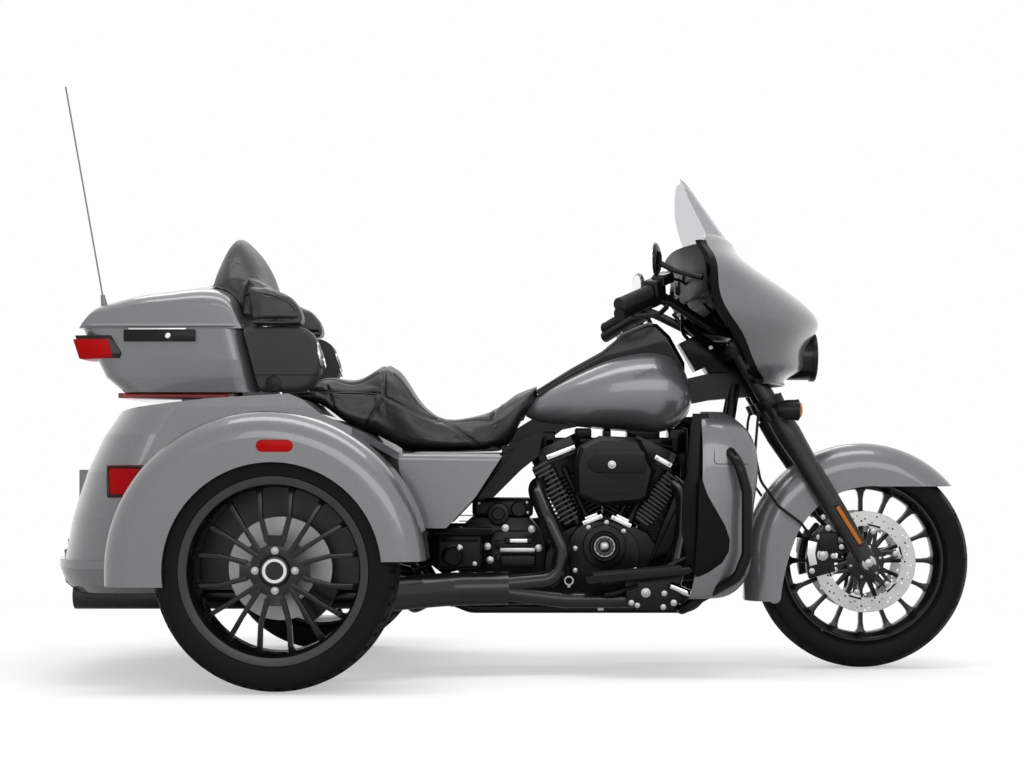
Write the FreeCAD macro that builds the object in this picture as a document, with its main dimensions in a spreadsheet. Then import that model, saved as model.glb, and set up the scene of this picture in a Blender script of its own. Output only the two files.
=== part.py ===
import FreeCAD, Part
import Sketcher
import math
import os
import types

# Motorized trike. X points forward, Y to the rider's left, Z up, all in millimetres.
# The origin lies on the ground below the middle of the bounding box.

vector = FreeCAD.Vector
doc = FreeCAD.newDocument("motorizedTrike")
sheet = doc.addObject("Spreadsheet::Sheet", "Sizes")

driving = {
    # stance
    "wheelBase": 1670,
    "frontHubX": 1015,
    "rearWheelHalfTrack": 560,
    # front wheel
    "frontTyreRadius": 319.5,
    "frontTyreHalfWidth": 65,
    "frontSeatRadius": 240,
    "frontSpokeCount": 16,
    "frontDiscRadius": 150,
    "frontDiscOffset": 72,
    "frontDiscThickness": 5,
    "frontAxleRadius": 12.5,
    # rear wheels
    "rearTyreRadius": 325.5,
    "rearTyreHalfWidth": 107.5,
    "rearSeatRadius": 244,
    "rearSpokeDepth": 26,
    "rearDiscRadius": 140,
    "rearDiscThickness": 10,
    "rearHubRadius": 76,
    # steering and fork
    "rakeAngle": 26,
    "forkAngle": 31.5,
    "legHalfSpread": 115,
    "legTubeRadius": 26,
    "sliderRadius": 30,
    "neckHeight": 870,
    "neckLength": 150,
    "neckRadius": 34,
    "stemRadius": 17,
    "clampThickness": 30,
    "trail": 100,
    # handlebar
    "barRadius": 14,
    "gripRadius": 18,
    "gripHalfSpan": 432,
    "gripHeight": 1058,
    # front fender
    "fenderRadius": 352,
    "fenderHalfWidth": 82,
    "fenderCrown": 74,
    "fenderWall": 5,
    "fenderTailHeight": 202,
    # fairing and windshield
    "fairingHalfWidth": 430,
    "fairingWall": 7,
    "shieldWall": 5,
    "lampRadius": 74,
    "lampHeight": 930,
    # frame
    "railHalfSpread": 150,
    "railHeight": 190,
    "railRadius": 16,
    "seatRailHeight": 643,
    # engine
    "crankX": 239,
    "crankHeight": 350,
    "cylinderLean": 25,
    "finRadius": 92,
    "finHalfDepth": 84,
    "finCount": 11,
    "finPitch": 12.5,
    "finThickness": 4.5,
    "barrelRadius": 64,
    "deckHeight": 105,
    "caseHalfWidth": 108,
    "pushrodRadius": 10,
    # exhaust
    "headerRadius": 25,
    "collectorRadius": 48,
    "mufflerRadius": 39,
    "mufflerOffset": 360,
    "mufflerHeight": 242,
    # rear body
    "bodyWall": 22,
    "rearFenderRadius": 427,
    "rearFenderHalfSpan": 695,
    "rearFenderRound": 72,
    "wellRadius": 346,
    "wheelOpeningRadius": 288,
    "wellInner": 442,
    "trunkDoorHalfWidth": 345,
    "trunkDoorBottom": 371,
    "trunkDoorTop": 685,
    "doorGap": 5,
    "doorHingeSet": 657,
    "doorHingeHeight": 358,
    "doorHingeRadius": 7,
    "plateBoltWide": 146,
    "plateBoltHigh": 70,
    "plateBoltRadius": 3.25,
    "plateHeight": 530,
    # tour pack
    "packHalfWidth": 290,
    "packWall": 8,
    "packSeam": 994,
    "packFloor": 814,
    "lidHeight": 140,
    # common clearances
    "seatGap": 0.3,
}


class Dim:
    """A size that carries its number and the sheet formula that gives it."""

    def __init__(self, value, formula):
        self.value = float(value)
        self.formula = formula

    def __float__(self):
        return self.value

    def __add__(self, other):
        return joined(self, "+", other)

    def __radd__(self, other):
        return joined(other, "+", self)

    def __sub__(self, other):
        return joined(self, "-", other)

    def __rsub__(self, other):
        return joined(other, "-", self)

    def __mul__(self, other):
        return joined(self, "*", other)

    def __rmul__(self, other):
        return joined(other, "*", self)

    def __neg__(self):
        return joined(0, "-", self)


def asDim(item):
    if isinstance(item, Dim):
        return item
    return Dim(item, repr(float(item)))


def joined(left, sign, right):
    left = asDim(left)
    right = asDim(right)
    results = {
        "+": left.value + right.value,
        "-": left.value - right.value,
        "*": left.value * right.value,
    }
    return Dim(results[sign], "(%s %s %s)" % (left.formula, sign, right.formula))


size = types.SimpleNamespace()
for row, (name, value) in enumerate(driving.items(), 1):
    sheet.set("A%d" % row, name)
    sheet.set("B%d" % row, str(value))
    sheet.setAlias("B%d" % row, name)
    setattr(size, name, Dim(value, "Sizes." + name))
doc.recompute()

rearHubX = size.frontHubX - size.wheelBase
frontHubZ = size.frontTyreRadius
rearHubZ = size.rearTyreRadius
gap = float(size.seatGap)
fx = float(size.frontHubX)
fz = float(frontHubZ)
rx = float(rearHubX)
rz = float(rearHubZ)


# Sketch and body helpers

def originPlane(body, role):
    for item in body.Origin.OriginFeatures:
        if item.Role == role:
            return item


def endOf(item):
    return item[1] if isinstance(item[0], tuple) else item


def isArc(item):
    return isinstance(item[0], tuple)


def drawLoop(sketch, loop):
    """Lines and arcs through the loop's points, each point held by its formulas."""
    first = sketch.GeometryCount
    count = len(loop)
    starts = []
    for index in range(count):
        here = endOf(loop[index])
        item = loop[(index + 1) % count]
        begin = vector(float(here[0]), float(here[1]), 0)
        there = endOf(item)
        finish = vector(float(there[0]), float(there[1]), 0)
        if isArc(item):
            middle = vector(float(item[0][0]), float(item[0][1]), 0)
            leftTurn = (middle - begin).cross(finish - middle).z > 0
            arc = Part.Arc(begin, middle, finish) if leftTurn else Part.Arc(finish, middle, begin)
            number = sketch.addGeometry(arc, False)
            starts.append(1 if leftTurn else 2)
            radius = sketch.Geometry[number].Radius
            if (finish - begin).Length < 1.98 * radius:
                sketch.addConstraint(Sketcher.Constraint("Radius", number, radius))
        else:
            sketch.addGeometry(Part.LineSegment(begin, finish), False)
            starts.append(1)
    for index in range(count):
        following = (index + 1) % count
        meet = Sketcher.Constraint("Coincident", first + index, 3 - starts[index],
                                   first + following, starts[following])
        sketch.addConstraint(meet)
    for index in range(count):
        point = endOf(loop[index])
        for kind, item in (("DistanceX", asDim(point[0])), ("DistanceY", asDim(point[1]))):
            place = Sketcher.Constraint(kind, -1, 1, first + index, starts[index], item.value)
            number = sketch.addConstraint(place)
            sketch.setExpression("Constraints[%d]" % number, item.formula)


def drawCircle(sketch, x, y, radius):
    x, y, radius = asDim(x), asDim(y), asDim(radius)
    circle = Part.Circle(vector(x.value, y.value, 0), vector(0, 0, 1), radius.value)
    number = sketch.addGeometry(circle, False)
    for kind, item in (("DistanceX", x), ("DistanceY", y)):
        place = sketch.addConstraint(Sketcher.Constraint(kind, -1, 1, number, 3, item.value))
        sketch.setExpression("Constraints[%d]" % place, item.formula)
    width = sketch.addConstraint(Sketcher.Constraint("Radius", number, radius.value))
    sketch.setExpression("Constraints[%d]" % width, radius.formula)


def bind(item, name, value):
    value = asDim(value)
    whole = isinstance(getattr(item, name), int)
    setattr(item, name, round(value.value) if whole else value.value)
    item.setExpression(name, value.formula)


def newSketch(body, name, role, at, loops=(), circles=()):
    sketch = body.newObject("Sketcher::SketchObject", name)
    sketch.AttachmentSupport = [(originPlane(body, role), "")]
    sketch.MapMode = "FlatFace"
    for key, item in zip("xyz", at):
        sketch.setExpression(".AttachmentOffset.Base." + key, asDim(item).formula)
    for loop in loops:
        drawLoop(sketch, loop)
    for circle in circles:
        drawCircle(sketch, *circle)
    return sketch


def newBody(label):
    body = doc.addObject("PartDesign::Body", label + "Body")
    body.Label = label
    return body


def addPad(body, name, sketch, length, symmetric=False):
    pad = body.newObject("PartDesign::Pad", name)
    pad.Profile = sketch
    bind(pad, "Length", length)
    pad.Midplane = symmetric
    return pad


def addPocket(body, name, sketch, length, symmetric=True):
    pocket = body.newObject("PartDesign::Pocket", name)
    pocket.Profile = sketch
    bind(pocket, "Length", length)
    pocket.Midplane = symmetric
    return pocket


def addRevolution(body, name, sketch, axis="H_Axis"):
    turned = body.newObject("PartDesign::Revolution", name)
    turned.Profile = sketch
    turned.ReferenceAxis = (sketch, [axis])
    turned.Angle = 360
    return turned


def addPolar(body, name, feature, sketch, count):
    pattern = body.newObject("PartDesign::PolarPattern", name)
    pattern.Originals = [feature]
    pattern.Axis = (sketch, ["N_Axis"])
    pattern.Angle = 360
    bind(pattern, "Occurrences", count)
    body.Tip = pattern
    return pattern


def addFillet(body, name, radius, chosen):
    """Rounds the edges of the newest feature that the test picks."""
    doc.recompute()
    tip = body.Tip
    names = ["Edge%d" % number for number, edge in enumerate(tip.Shape.Edges, 1) if chosen(edge)]
    rounded = body.newObject("PartDesign::Fillet", name)
    rounded.Base = (tip, names)
    bind(rounded, "Radius", radius)
    return rounded


def plate(label, loops, near, thickness, circles=()):
    """A pad drawn in side view that starts at the distance near to the right of the middle."""
    body = newBody(label)
    sketch = newSketch(body, label + "Outline", "XZ_Plane", (0, 0, near), loops, circles)
    addPad(body, label + "Pad", sketch, thickness)
    return body


def flatEdges(y):
    """Picks the edges that lie wholly in the side plane at y."""
    def test(edge):
        box = edge.BoundBox
        return abs(box.YMin - y) < 0.01 and abs(box.YMax - y) < 0.01
    return test


# Shape helpers for freely curved pieces

def flat(loop, y):
    """A closed wire of lines and arcs in the side plane at y."""
    edges = []
    count = len(loop)
    for index in range(count):
        here = endOf(loop[index])
        item = loop[(index + 1) % count]
        begin = vector(float(here[0]), y, float(here[1]))
        there = endOf(item)
        finish = vector(float(there[0]), y, float(there[1]))
        if isArc(item):
            middle = vector(float(item[0][0]), y, float(item[0][1]))
            edges.append(Part.Arc(begin, middle, finish).toShape())
        else:
            edges.append(Part.LineSegment(begin, finish).toShape())
    return Part.Wire(edges)


def prism(loop, yFrom, yTo):
    return Part.Face(flat(loop, yFrom)).extrude(vector(0, yTo - yFrom, 0))


def block(xFrom, xTo, yFrom, yTo, zFrom, zTo):
    return Part.makeBox(xTo - xFrom, yTo - yFrom, zTo - zFrom, vector(xFrom, yFrom, zFrom))


def spline(points, closed=False):
    curve = Part.BSplineCurve()
    curve.interpolate([vector(*point) for point in points], PeriodicFlag=closed)
    return curve.toShape()


def polygon(points):
    return Part.makePolygon([vector(*point) for point in points] + [vector(*points[0])])


def loft(wires, ruled=False):
    return Part.makeLoft(wires, True, ruled)


def cylinderY(x, z, radius, yFrom, yTo):
    return Part.makeCylinder(radius, yTo - yFrom, vector(x, yFrom, z), vector(0, 1, 0))


def mirrored(shape):
    return shape.mirror(vector(0, 0, 0), vector(0, 1, 0))


def moved(shape, x, y, z):
    copy = shape.copy()
    copy.translate(vector(x, y, z))
    return copy


def both(shape):
    return Part.makeCompound([shape, mirrored(shape)])


def united(shapes):
    return shapes[0].multiFuse(shapes[1:]).removeSplitter()


def roundSection(x, top, bottom, half, power=2.5, count=16):
    """A closed superellipse square to the X axis."""
    middle = (top + bottom) / 2
    rise = (top - bottom) / 2
    points = []
    for index in range(count):
        angle = 2 * math.pi * index / count
        across = math.copysign(abs(math.cos(angle)) ** (2 / power), math.cos(angle))
        upward = math.copysign(abs(math.sin(angle)) ** (2 / power), math.sin(angle))
        points.append((x, half * across, middle + rise * upward))
    return Part.Wire([spline(points, True)])


def roundedEdges(shape, radius, chosen):
    return shape.makeFillet(radius, [edge for edge in shape.Edges if chosen(edge)])


def route(points, bend):
    """Straight runs joined by tangent arcs, none larger than the runs allow."""
    corners = [vector(*point) for point in points]
    edges = []
    last = corners[0]
    for before, corner, after in zip(corners, corners[1:], corners[2:]):
        incoming = (corner - before).normalize()
        outgoing = (after - corner).normalize()
        turn = incoming.getAngle(outgoing)
        run = min((corner - before).Length, (after - corner).Length)
        reach = min(bend * math.tan(turn / 2), 0.48 * run)
        begin = corner - incoming * reach
        finish = corner + outgoing * reach
        inward = (outgoing - incoming).normalize()
        radius = reach / math.tan(turn / 2)
        centre = corner + inward * (radius / math.cos(turn / 2))
        middle = centre - inward * radius
        if (begin - last).Length > 0.01:
            edges.append(Part.LineSegment(last, begin).toShape())
        edges.append(Part.Arc(begin, middle, finish).toShape())
        last = finish
    edges.append(Part.LineSegment(last, corners[-1]).toShape())
    return Part.Wire(edges)


def tube(points, radius, bend=80):
    path = route(points, bend)
    start = vector(*points[0])
    direction = vector(*points[1]) - start
    profile = Part.Wire(Part.makeCircle(radius, start, direction))
    return path.makePipeShell([profile], True, False)


def shellWire(points, thickness, height, start=0):
    """A closed wire round a curved wall, seen in plan, that begins at a depth inside the points."""
    count = len(points)
    line = [vector(point[0], point[1], height) for point in points]
    outer = []
    inner = []
    for index in range(count):
        ahead = line[min(index + 1, count - 1)]
        behind = line[max(index - 1, 0)]
        along = (ahead - behind).normalize()
        normal = vector(along.y, -along.x, 0)
        outer.append(line[index] - normal * start)
        inner.append(line[index] - normal * (start + thickness))
    outside = Part.BSplineCurve()
    outside.interpolate(outer)
    inside = Part.BSplineCurve()
    inside.interpolate(list(reversed(inner)))
    return Part.Wire([
        outside.toShape(),
        Part.LineSegment(outer[-1], inner[-1]).toShape(),
        inside.toShape(),
        Part.LineSegment(inner[0], outer[0]).toShape(),
    ])


def addPart(label, shape):
    item = doc.addObject("Part::Feature", label + "Form")
    item.Label = label
    item.Shape = shape
    return item


nodes = []


# Front wheel

def tyreLoop(radius, halfWidth, seat, bead, shoulder):
    """Tyre section in straight runs: a beaded foot, side walls and a crowned tread."""
    right = [
        (shoulder * 0.5, radius - 4), (shoulder, radius - 16), (halfWidth, radius * 0.875),
        (halfWidth - 5, seat + 15), (bead, seat),
    ]
    left = [(-across, height) for across, height in reversed(right)]
    return left + [(0, radius)] + right


def frontTyre():
    body = newBody("front_tyre")
    loop = tyreLoop(size.frontTyreRadius, size.frontTyreHalfWidth, size.frontSeatRadius,
                    size.frontTyreHalfWidth - 19, size.frontTyreHalfWidth - 13)
    sketch = newSketch(body, "frontTyreSection", "YZ_Plane", (0, frontHubZ, size.frontHubX), [loop])
    addRevolution(body, "frontTyreRing", sketch)
    return body


def barrelLoop(outer, halfWidth, wall, well):
    """Rim section with two edges and a dropped centre."""
    return [
        (-halfWidth, outer),
        (-halfWidth, outer - wall),
        (-halfWidth * 0.6, outer - wall - well),
        (halfWidth * 0.6, outer - wall - well),
        (halfWidth, outer - wall),
        (halfWidth, outer),
        (halfWidth * 0.7, outer),
        (halfWidth * 0.5, outer - well),
        (-halfWidth * 0.5, outer - well),
        (-halfWidth * 0.7, outer),
    ]


def frontRim():
    body = newBody("front_rim")
    seat = size.frontSeatRadius - gap
    at = (0, frontHubZ, size.frontHubX)
    barrel = newSketch(body, "frontBarrelSection", "YZ_Plane", at,
                       [barrelLoop(seat, size.frontTyreHalfWidth - 15, 13, 8)])
    addRevolution(body, "frontBarrel", barrel)
    spoke = newSketch(body, "frontSpoke", "XZ_Plane", (size.frontHubX, frontHubZ, 0), [[
        (-6, 40), (6, 40), (7, 150), (11, seat - 19), (-11, seat - 19), (-7, 150),
    ]])
    arm = addPad(body, "frontSpokePad", spoke, 24, True)
    addPolar(body, "frontSpokes", arm, spoke, size.frontSpokeCount)
    reach = size.frontDiscOffset - 2
    bore = size.frontAxleRadius + gap
    hub = newSketch(body, "frontHubSection", "YZ_Plane", at, [[
        (-reach, bore), (-reach, 44), (-34, 44), (-22, 58), (22, 58), (34, 44), (reach, 44), (reach, bore),
    ]])
    addRevolution(body, "frontHub", hub)
    boreSketch = newSketch(body, "frontBore", "XZ_Plane", (size.frontHubX, frontHubZ, 0), [],
                           [(0, 0, bore)])
    addPocket(body, "frontBorePocket", boreSketch, 400)
    return body


def frontDiscs():
    """Two floating discs: an outer ring carried by a web with six openings."""
    offset = float(size.frontDiscOffset)
    thickness = float(size.frontDiscThickness)
    outer = float(size.frontDiscRadius)
    near = offset - 2 + gap
    ring = cylinderY(fx, fz, outer, offset, offset + thickness)
    ring = ring.cut(cylinderY(fx, fz, outer - 46, offset - 1, offset + thickness + 1))
    web = cylinderY(fx, fz, outer - 44, near, offset + thickness + 1.5)
    web = web.cut(cylinderY(fx, fz, 30, near - 1, offset + thickness + 3))
    slots = []
    for number in range(6):
        angle = math.radians(60 * number)
        x = fx + 74 * math.cos(angle)
        z = fz + 74 * math.sin(angle)
        slots.append(cylinderY(x, z, 23, near - 1, offset + thickness + 3))
    disc = united([ring, web.cut(Part.makeCompound(slots))])
    return addPart("front_discs", both(disc))


nodes += [frontTyre(), frontRim(), frontDiscs()]


# Rear wheels

def rearTyre(side, near):
    body = newBody("rear_tyre_" + side)
    loop = tyreLoop(size.rearTyreRadius, size.rearTyreHalfWidth, size.rearSeatRadius,
                    size.rearTyreHalfWidth - 17, size.rearTyreHalfWidth - 12)
    loop = [(across + near, height) for across, height in loop]
    sketch = newSketch(body, "rearTyreSection" + side, "YZ_Plane", (0, rearHubZ, rearHubX), [loop])
    addRevolution(body, "rearTyreRing" + side, sketch)
    return body


def spokeQuarter(rimRadius):
    """One U and one V of the eight spoke pairs, with their outer ends on the rim."""
    uShape = [
        (-52, rimRadius), (-42, rimRadius), (-24, 84), (24, 84), (42, rimRadius), (52, rimRadius),
        (30, 62), (-30, 62),
    ]
    vFlat = [
        (-48, rimRadius), (-38, rimRadius), (0, 92), (38, rimRadius), (48, rimRadius), (9, 66), (-9, 66),
    ]
    half = math.sqrt(0.5)
    vShape = [((x + y) * half, (y - x) * half) for x, y in vFlat]
    return [uShape, vShape]


def rearRim(side, sign):
    """Deep rim with its spoke face near the outer edge and a bare centre cap."""
    body = newBody("rear_rim_" + side)
    seat = size.rearSeatRadius - gap
    middle = sign * float(size.rearWheelHalfTrack)
    half = size.rearTyreHalfWidth - 13
    at = (0, rearHubZ, rearHubX)
    loop = [(point[0] + middle, point[1]) for point in barrelLoop(seat, half, 13, 10)]
    barrel = newSketch(body, "rearBarrelSection" + side, "YZ_Plane", at, [loop])
    addRevolution(body, "rearBarrel" + side, barrel)
    outward = float(size.rearWheelHalfTrack) + 46
    start = outward if sign < 0 else -outward - float(size.rearSpokeDepth)
    wheelAt = (rearHubX, rearHubZ, start)
    loops = spokeQuarter(float(seat) - 18)
    sketch = newSketch(body, "rearSpokeSketch" + side, "XZ_Plane", wheelAt, loops)
    spokes = addPad(body, "rearSpokePad" + side, sketch, size.rearSpokeDepth)
    addPolar(body, "rearSpokes" + side, spokes, sketch, 4)
    hubIn = sign * (float(size.rearWheelHalfTrack) - 40)
    hubOut = sign * (outward + float(size.rearSpokeDepth) - 4)
    cap = sign * (outward + float(size.rearSpokeDepth) + 8)
    hub = newSketch(body, "rearHubSection" + side, "YZ_Plane", at, [[
        (hubIn, 0), (hubIn, 60), (hubOut - sign * 22, size.rearHubRadius), (hubOut, size.rearHubRadius - 3),
        (hubOut, 42), (cap, 38), (cap, 0),
    ]])
    addRevolution(body, "rearHub" + side, hub)
    return body


def rearDisc(side, sign):
    """Brake disc bolted to the inner end of the hub."""
    inner = float(size.rearWheelHalfTrack) - 40 - gap
    thickness = float(size.rearDiscThickness)
    ring = cylinderY(rx, rz, float(size.rearDiscRadius), inner - thickness, inner)
    ring = ring.cut(cylinderY(rx, rz, 33 + gap, inner - thickness - 1, inner + 1))
    slots = []
    for number in range(5):
        angle = math.radians(72 * number + 18)
        x = rx + 62 * math.cos(angle)
        z = rz + 62 * math.sin(angle)
        slots.append(cylinderY(x, z, 12, inner - thickness - 1, inner + 1))
    ring = ring.cut(Part.makeCompound(slots))
    return addPart("rear_disc_" + side, ring if sign > 0 else mirrored(ring))


for side, sign in (("right", -1), ("left", 1)):
    nodes.append(rearTyre(side, sign * float(size.rearWheelHalfTrack)))
    nodes.append(rearRim(side, sign))
    nodes.append(rearDisc(side, sign))


# Steering

rake = math.radians(float(size.rakeAngle))
forkLean = math.radians(float(size.forkAngle))
steerUp = vector(-math.sin(rake), 0, math.cos(rake))
legUp = vector(-math.sin(forkLean), 0, math.cos(forkLean))


def steerPoint(height):
    """The point of the steering axis at a height above the ground."""
    foot = fx + float(size.trail)
    return vector(foot - height * math.tan(rake), 0, height)


def legPoint(height):
    return vector(fx - (height - fz) * math.tan(forkLean), 0, height)


neckMiddle = steerPoint(float(size.neckHeight))
neckHalf = float(size.neckLength) / 2
stemLow = neckMiddle - steerUp * (neckHalf + gap)
stemHigh = neckMiddle + steerUp * (neckHalf + gap)


def clampPlate(base, up):
    """One fork clamp: a rounded plate square to the steering axis, bored for both legs."""
    thickness = float(size.clampThickness)
    spread = float(size.legHalfSpread)
    centre = base + steerUp * (up * thickness / 2)
    legMiddle = legPoint(centre.z)
    side = vector(math.cos(rake), 0, math.sin(rake))
    shift = (legMiddle - centre).dot(side)
    pieces = []
    for y in (-spread, spread):
        eye = centre + side * shift + vector(0, y, 0) - steerUp * (thickness / 2)
        pieces.append(Part.makeCylinder(42, thickness, eye, steerUp))
    middle = Part.makeCylinder(46, thickness, centre - steerUp * (thickness / 2), steerUp)
    corners = [
        centre + side * (shift - 34) + vector(0, -spread, 0),
        centre + side * (shift + 34) + vector(0, -spread, 0),
        centre + side * (shift + 34) + vector(0, spread, 0),
        centre + side * (shift - 34) + vector(0, spread, 0),
    ]
    corners = [corner - steerUp * (thickness / 2) for corner in corners]
    bridge = Part.Face(Part.makePolygon(corners + corners[:1])).extrude(steerUp * thickness)
    return united(pieces + [middle, bridge])


def legBore():
    """The two leg cylinders as they pass the clamps, with a running gap all round."""
    low = legPoint(600)
    radius = float(size.legTubeRadius) + gap
    length = 480 / math.cos(forkLean)
    right = Part.makeCylinder(radius, length, low + vector(0, -float(size.legHalfSpread), 0), legUp)
    return Part.makeCompound([right, mirrored(right)])


def tripleClamps():
    lower = clampPlate(stemLow, -1)
    upper = clampPlate(stemHigh, 1)
    stem = Part.makeCylinder(float(size.stemRadius), (stemHigh - stemLow).Length, stemLow, steerUp)
    arm = block(672, 768 - gap, -34, -20, 960, 984)
    return addPart("triple_clamps", united([lower, upper, stem, arm, mirrored(arm)]).cut(legBore()))


def forkLegs():
    """Cover tube, slider and axle lug of each leg, turned about the leg's own line."""
    low = legPoint(fz) + legUp * -34
    slider = float(size.sliderRadius)
    covers = float(size.legTubeRadius)
    lowerClamp = (legPoint(stemLow.z) - low).dot(legUp) - 62
    top = (legPoint(stemHigh.z) - low).dot(legUp) + 34
    outline = [
        (0, 0), (slider - 8, 0), (slider - 3, 10), (slider - 2, 120), (slider, 190),
        (slider + 2, lowerClamp - 150), (slider + 7, lowerClamp - 60), (slider + 5, lowerClamp),
        (covers, lowerClamp), (covers, top), (0, top),
    ]
    face = Part.Face(polygon([(radius, 0, along) for radius, along in outline]))
    leg = face.revolve(vector(0, 0, 0), vector(0, 0, 1), 360)
    leg.rotate(vector(0, 0, 0), vector(0, 1, 0), -float(size.forkAngle))
    leg.translate(low + vector(0, -float(size.legHalfSpread), 0))
    axleHole = cylinderY(fx, fz, float(size.frontAxleRadius), -160, -60)
    lug = cylinderY(fx, fz, 26, -float(size.legHalfSpread) - 20, -float(size.legHalfSpread) + 24)
    leg = leg.fuse(lug).cut(axleHole)
    axle = cylinderY(fx, fz, float(size.frontAxleRadius) - 0.05, -140, 140)
    return addPart("fork_legs", Part.makeCompound([leg, mirrored(leg), axle]))


def handlebar():
    """Swept bar with two grips, switch housings and two levers."""
    high = float(size.gripHeight)
    span = float(size.gripHalfSpan)
    radius = float(size.barRadius)
    clampTop = stemHigh + steerUp * (float(size.clampThickness) + 16 + radius)
    half = [
        (clampTop.x, 0, clampTop.z),
        (clampTop.x, -70, clampTop.z),
        (clampTop.x - 85, -165, clampTop.z + 15),
        (395, -262, high + 34),
        (268, -span, high),
    ]
    bar = tube(half, radius, 90)
    gripStart = vector(362, -304, high + 25)
    gripEnd = vector(268, -span, high)
    outward = (gripEnd - gripStart).normalize()
    grip = Part.makeCylinder(float(size.gripRadius), (gripEnd - gripStart).Length, gripStart, outward)
    housing = Part.makeCylinder(24, 46, gripStart - outward * 48, outward)
    lever = tube([
        tuple(gripStart - outward * 26), tuple(gripStart + vector(52, -6, -14)),
        tuple(gripStart + vector(20, -84, -30)), tuple(gripEnd + vector(40, 12, -8)),
    ], 7, 40)
    riser = Part.makeCylinder(20, 17, stemHigh + steerUp * (float(size.clampThickness) + gap)
                              + vector(0, -45, 0), steerUp)
    right = united([bar, grip, housing, lever, riser])
    return addPart("handlebar", united([right, mirrored(right)]))


def mirrors():
    """Two oval mirror heads on short stalks from the fairing's edge."""
    ovals = [roundSection(depth, high, -high, wide, 2.3, 12)
             for depth, wide, high in ((0, 78, 44), (4, 80, 46), (12, 70, 39), (17, 48, 27), (20, 22, 13))]
    egg = loft(ovals)
    egg.rotate(vector(0, 0, 0), vector(0, 0, 1), -8)
    egg.translate(vector(368, -392, 1178))
    stalk = tube([(380, -386, 1170), (424, -378, 1150), (470, -392, 1135), (500, -408, 1126)], 8, 30)
    return addPart("mirrors", both(united([egg, stalk])))


clampsNode = tripleClamps()
nodes += [clampsNode, forkLegs(), handlebar(), mirrors()]


# Front fender, brakes and lamps

def fenderRegion(inset, bottom):
    """Side view of the fender: a crown arc about the hub that runs on into a straight tail."""
    radius = float(size.fenderRadius) - inset
    tip = math.radians(37.5)
    over = math.radians(110)
    return [
        (fx + radius * math.cos(tip), fz + radius * math.sin(tip)),
        ((fx + radius * math.cos(over), fz + radius * math.sin(over)), (fx - radius, fz)),
        (fx - radius, bottom),
        (fx, bottom),
        (fx, fz),
    ]


def frontFender():
    half = float(size.fenderHalfWidth)
    wall = float(size.fenderWall)
    crown = float(size.fenderCrown)
    bottom = float(size.fenderTailHeight)

    def crownEdges(limit):
        def test(edge):
            box = edge.BoundBox
            onSide = abs(abs(box.YMin) - limit) < 0.01 and abs(abs(box.YMax) - limit) < 0.01
            return onSide and (box.XMin < fx - 300) and box.XMax < fx + 400 and box.ZMax > fz + 0.5 or (
                onSide and abs(box.XMin - box.XMax) < 0.01 and box.XMin < fx - 300)
        return test

    outer = prism(fenderRegion(0, bottom - 60), -half, half)
    outer = roundedEdges(outer, crown, crownEdges(half))
    inner = prism(fenderRegion(wall, bottom - 60), wall - half, half - wall)
    inner = roundedEdges(inner, crown - wall, crownEdges(half - wall))
    valance = prism([
        (fx + 330, fz + 223), (fx + 50, fz + 223), ((fx - 120, fz + 179), (fx - 200, fz + 86)),
        ((fx - 235, fz - 20), (fx - 250, fz - 104)), ((fx - 262, fz - 122), (fx - 282, bottom)),
        (fx - 420, bottom), (fx - 420, fz + 400), (fx + 330, fz + 400),
    ], -half - 10, half + 10)
    shell = outer.cut(inner).common(valance)
    return addPart("front_fender", shell)


def frontCalipers():
    """Curved brake calipers straddling the rear of each disc, with a lug to the fork leg."""
    outer = float(size.frontDiscRadius)
    offset = float(size.frontDiscOffset)

    def sector(inner, outside, first, last, yFrom, yTo):
        ring = cylinderY(fx, fz, outside, yFrom, yTo).cut(cylinderY(fx, fz, inner, yFrom - 1, yTo + 1))
        reach = 400
        a, b = math.radians(first), math.radians(last)
        wedge = prism([
            (fx, fz), (fx + reach * math.cos(a), fz + reach * math.sin(a)),
            (fx + reach * math.cos(b), fz + reach * math.sin(b)),
        ], yFrom - 1, yTo + 1)
        return ring.common(wedge)

    caliper = sector(96, outer + 26, 148, 196, offset + 9, offset + 34)
    bridge = sector(outer + 4, outer + 26, 152, 192, offset - 7, offset + 12)
    lug = sector(112, outer + 14, 137, 150, offset + 12, offset + 30)
    return addPart("front_calipers", both(united([caliper, bridge, lug])))


def frontLamps():
    """Headlamp drum with its trim ring, and the signal bar with two bullet lamps."""
    radius = float(size.lampRadius)
    height = float(size.lampHeight)
    drum = Part.makeCylinder(radius - 4, 96, vector(768, 0, height), vector(1, 0, 0))
    ring = Part.makeCylinder(radius, 14, vector(864, 0, height), vector(1, 0, 0))
    ring = ring.makeFillet(5, [edge for edge in ring.Edges if edge.BoundBox.XMin > 877])
    lamp = united([drum, ring])
    return lamp


def signalBar():
    bar = Part.makeCylinder(9, 380, vector(790.7, -190, 772), vector(0, 1, 0))
    shape = [(0, 0), (0, 20), (30, 29), (70, 30), (78, 24), (78, 0)]
    face = Part.Face(polygon([(x, radius, 0) for x, radius in shape]))
    pod = face.revolve(vector(0, 0, 0), vector(1, 0, 0), 360)
    pod.translate(vector(732, -200, 765))
    return united([bar, pod, mirrored(pod)])


def brakeHoses(clamps, calipers):
    """Two thin hoses from the lower fork clamp down behind the legs to the calipers."""
    hose = tube([
        (704, -112, 792), (692, -114, 740), (684, -116, 640), (700, -116, 560), (752, -114, 486), (820, -106, 436),
        (862, -98, 382),
    ], 4, 60)
    free = max(hose.cut(clamps).cut(calipers).Solids, key=lambda solid: solid.Volume)
    return addPart("brake_hoses", both(free))


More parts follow.
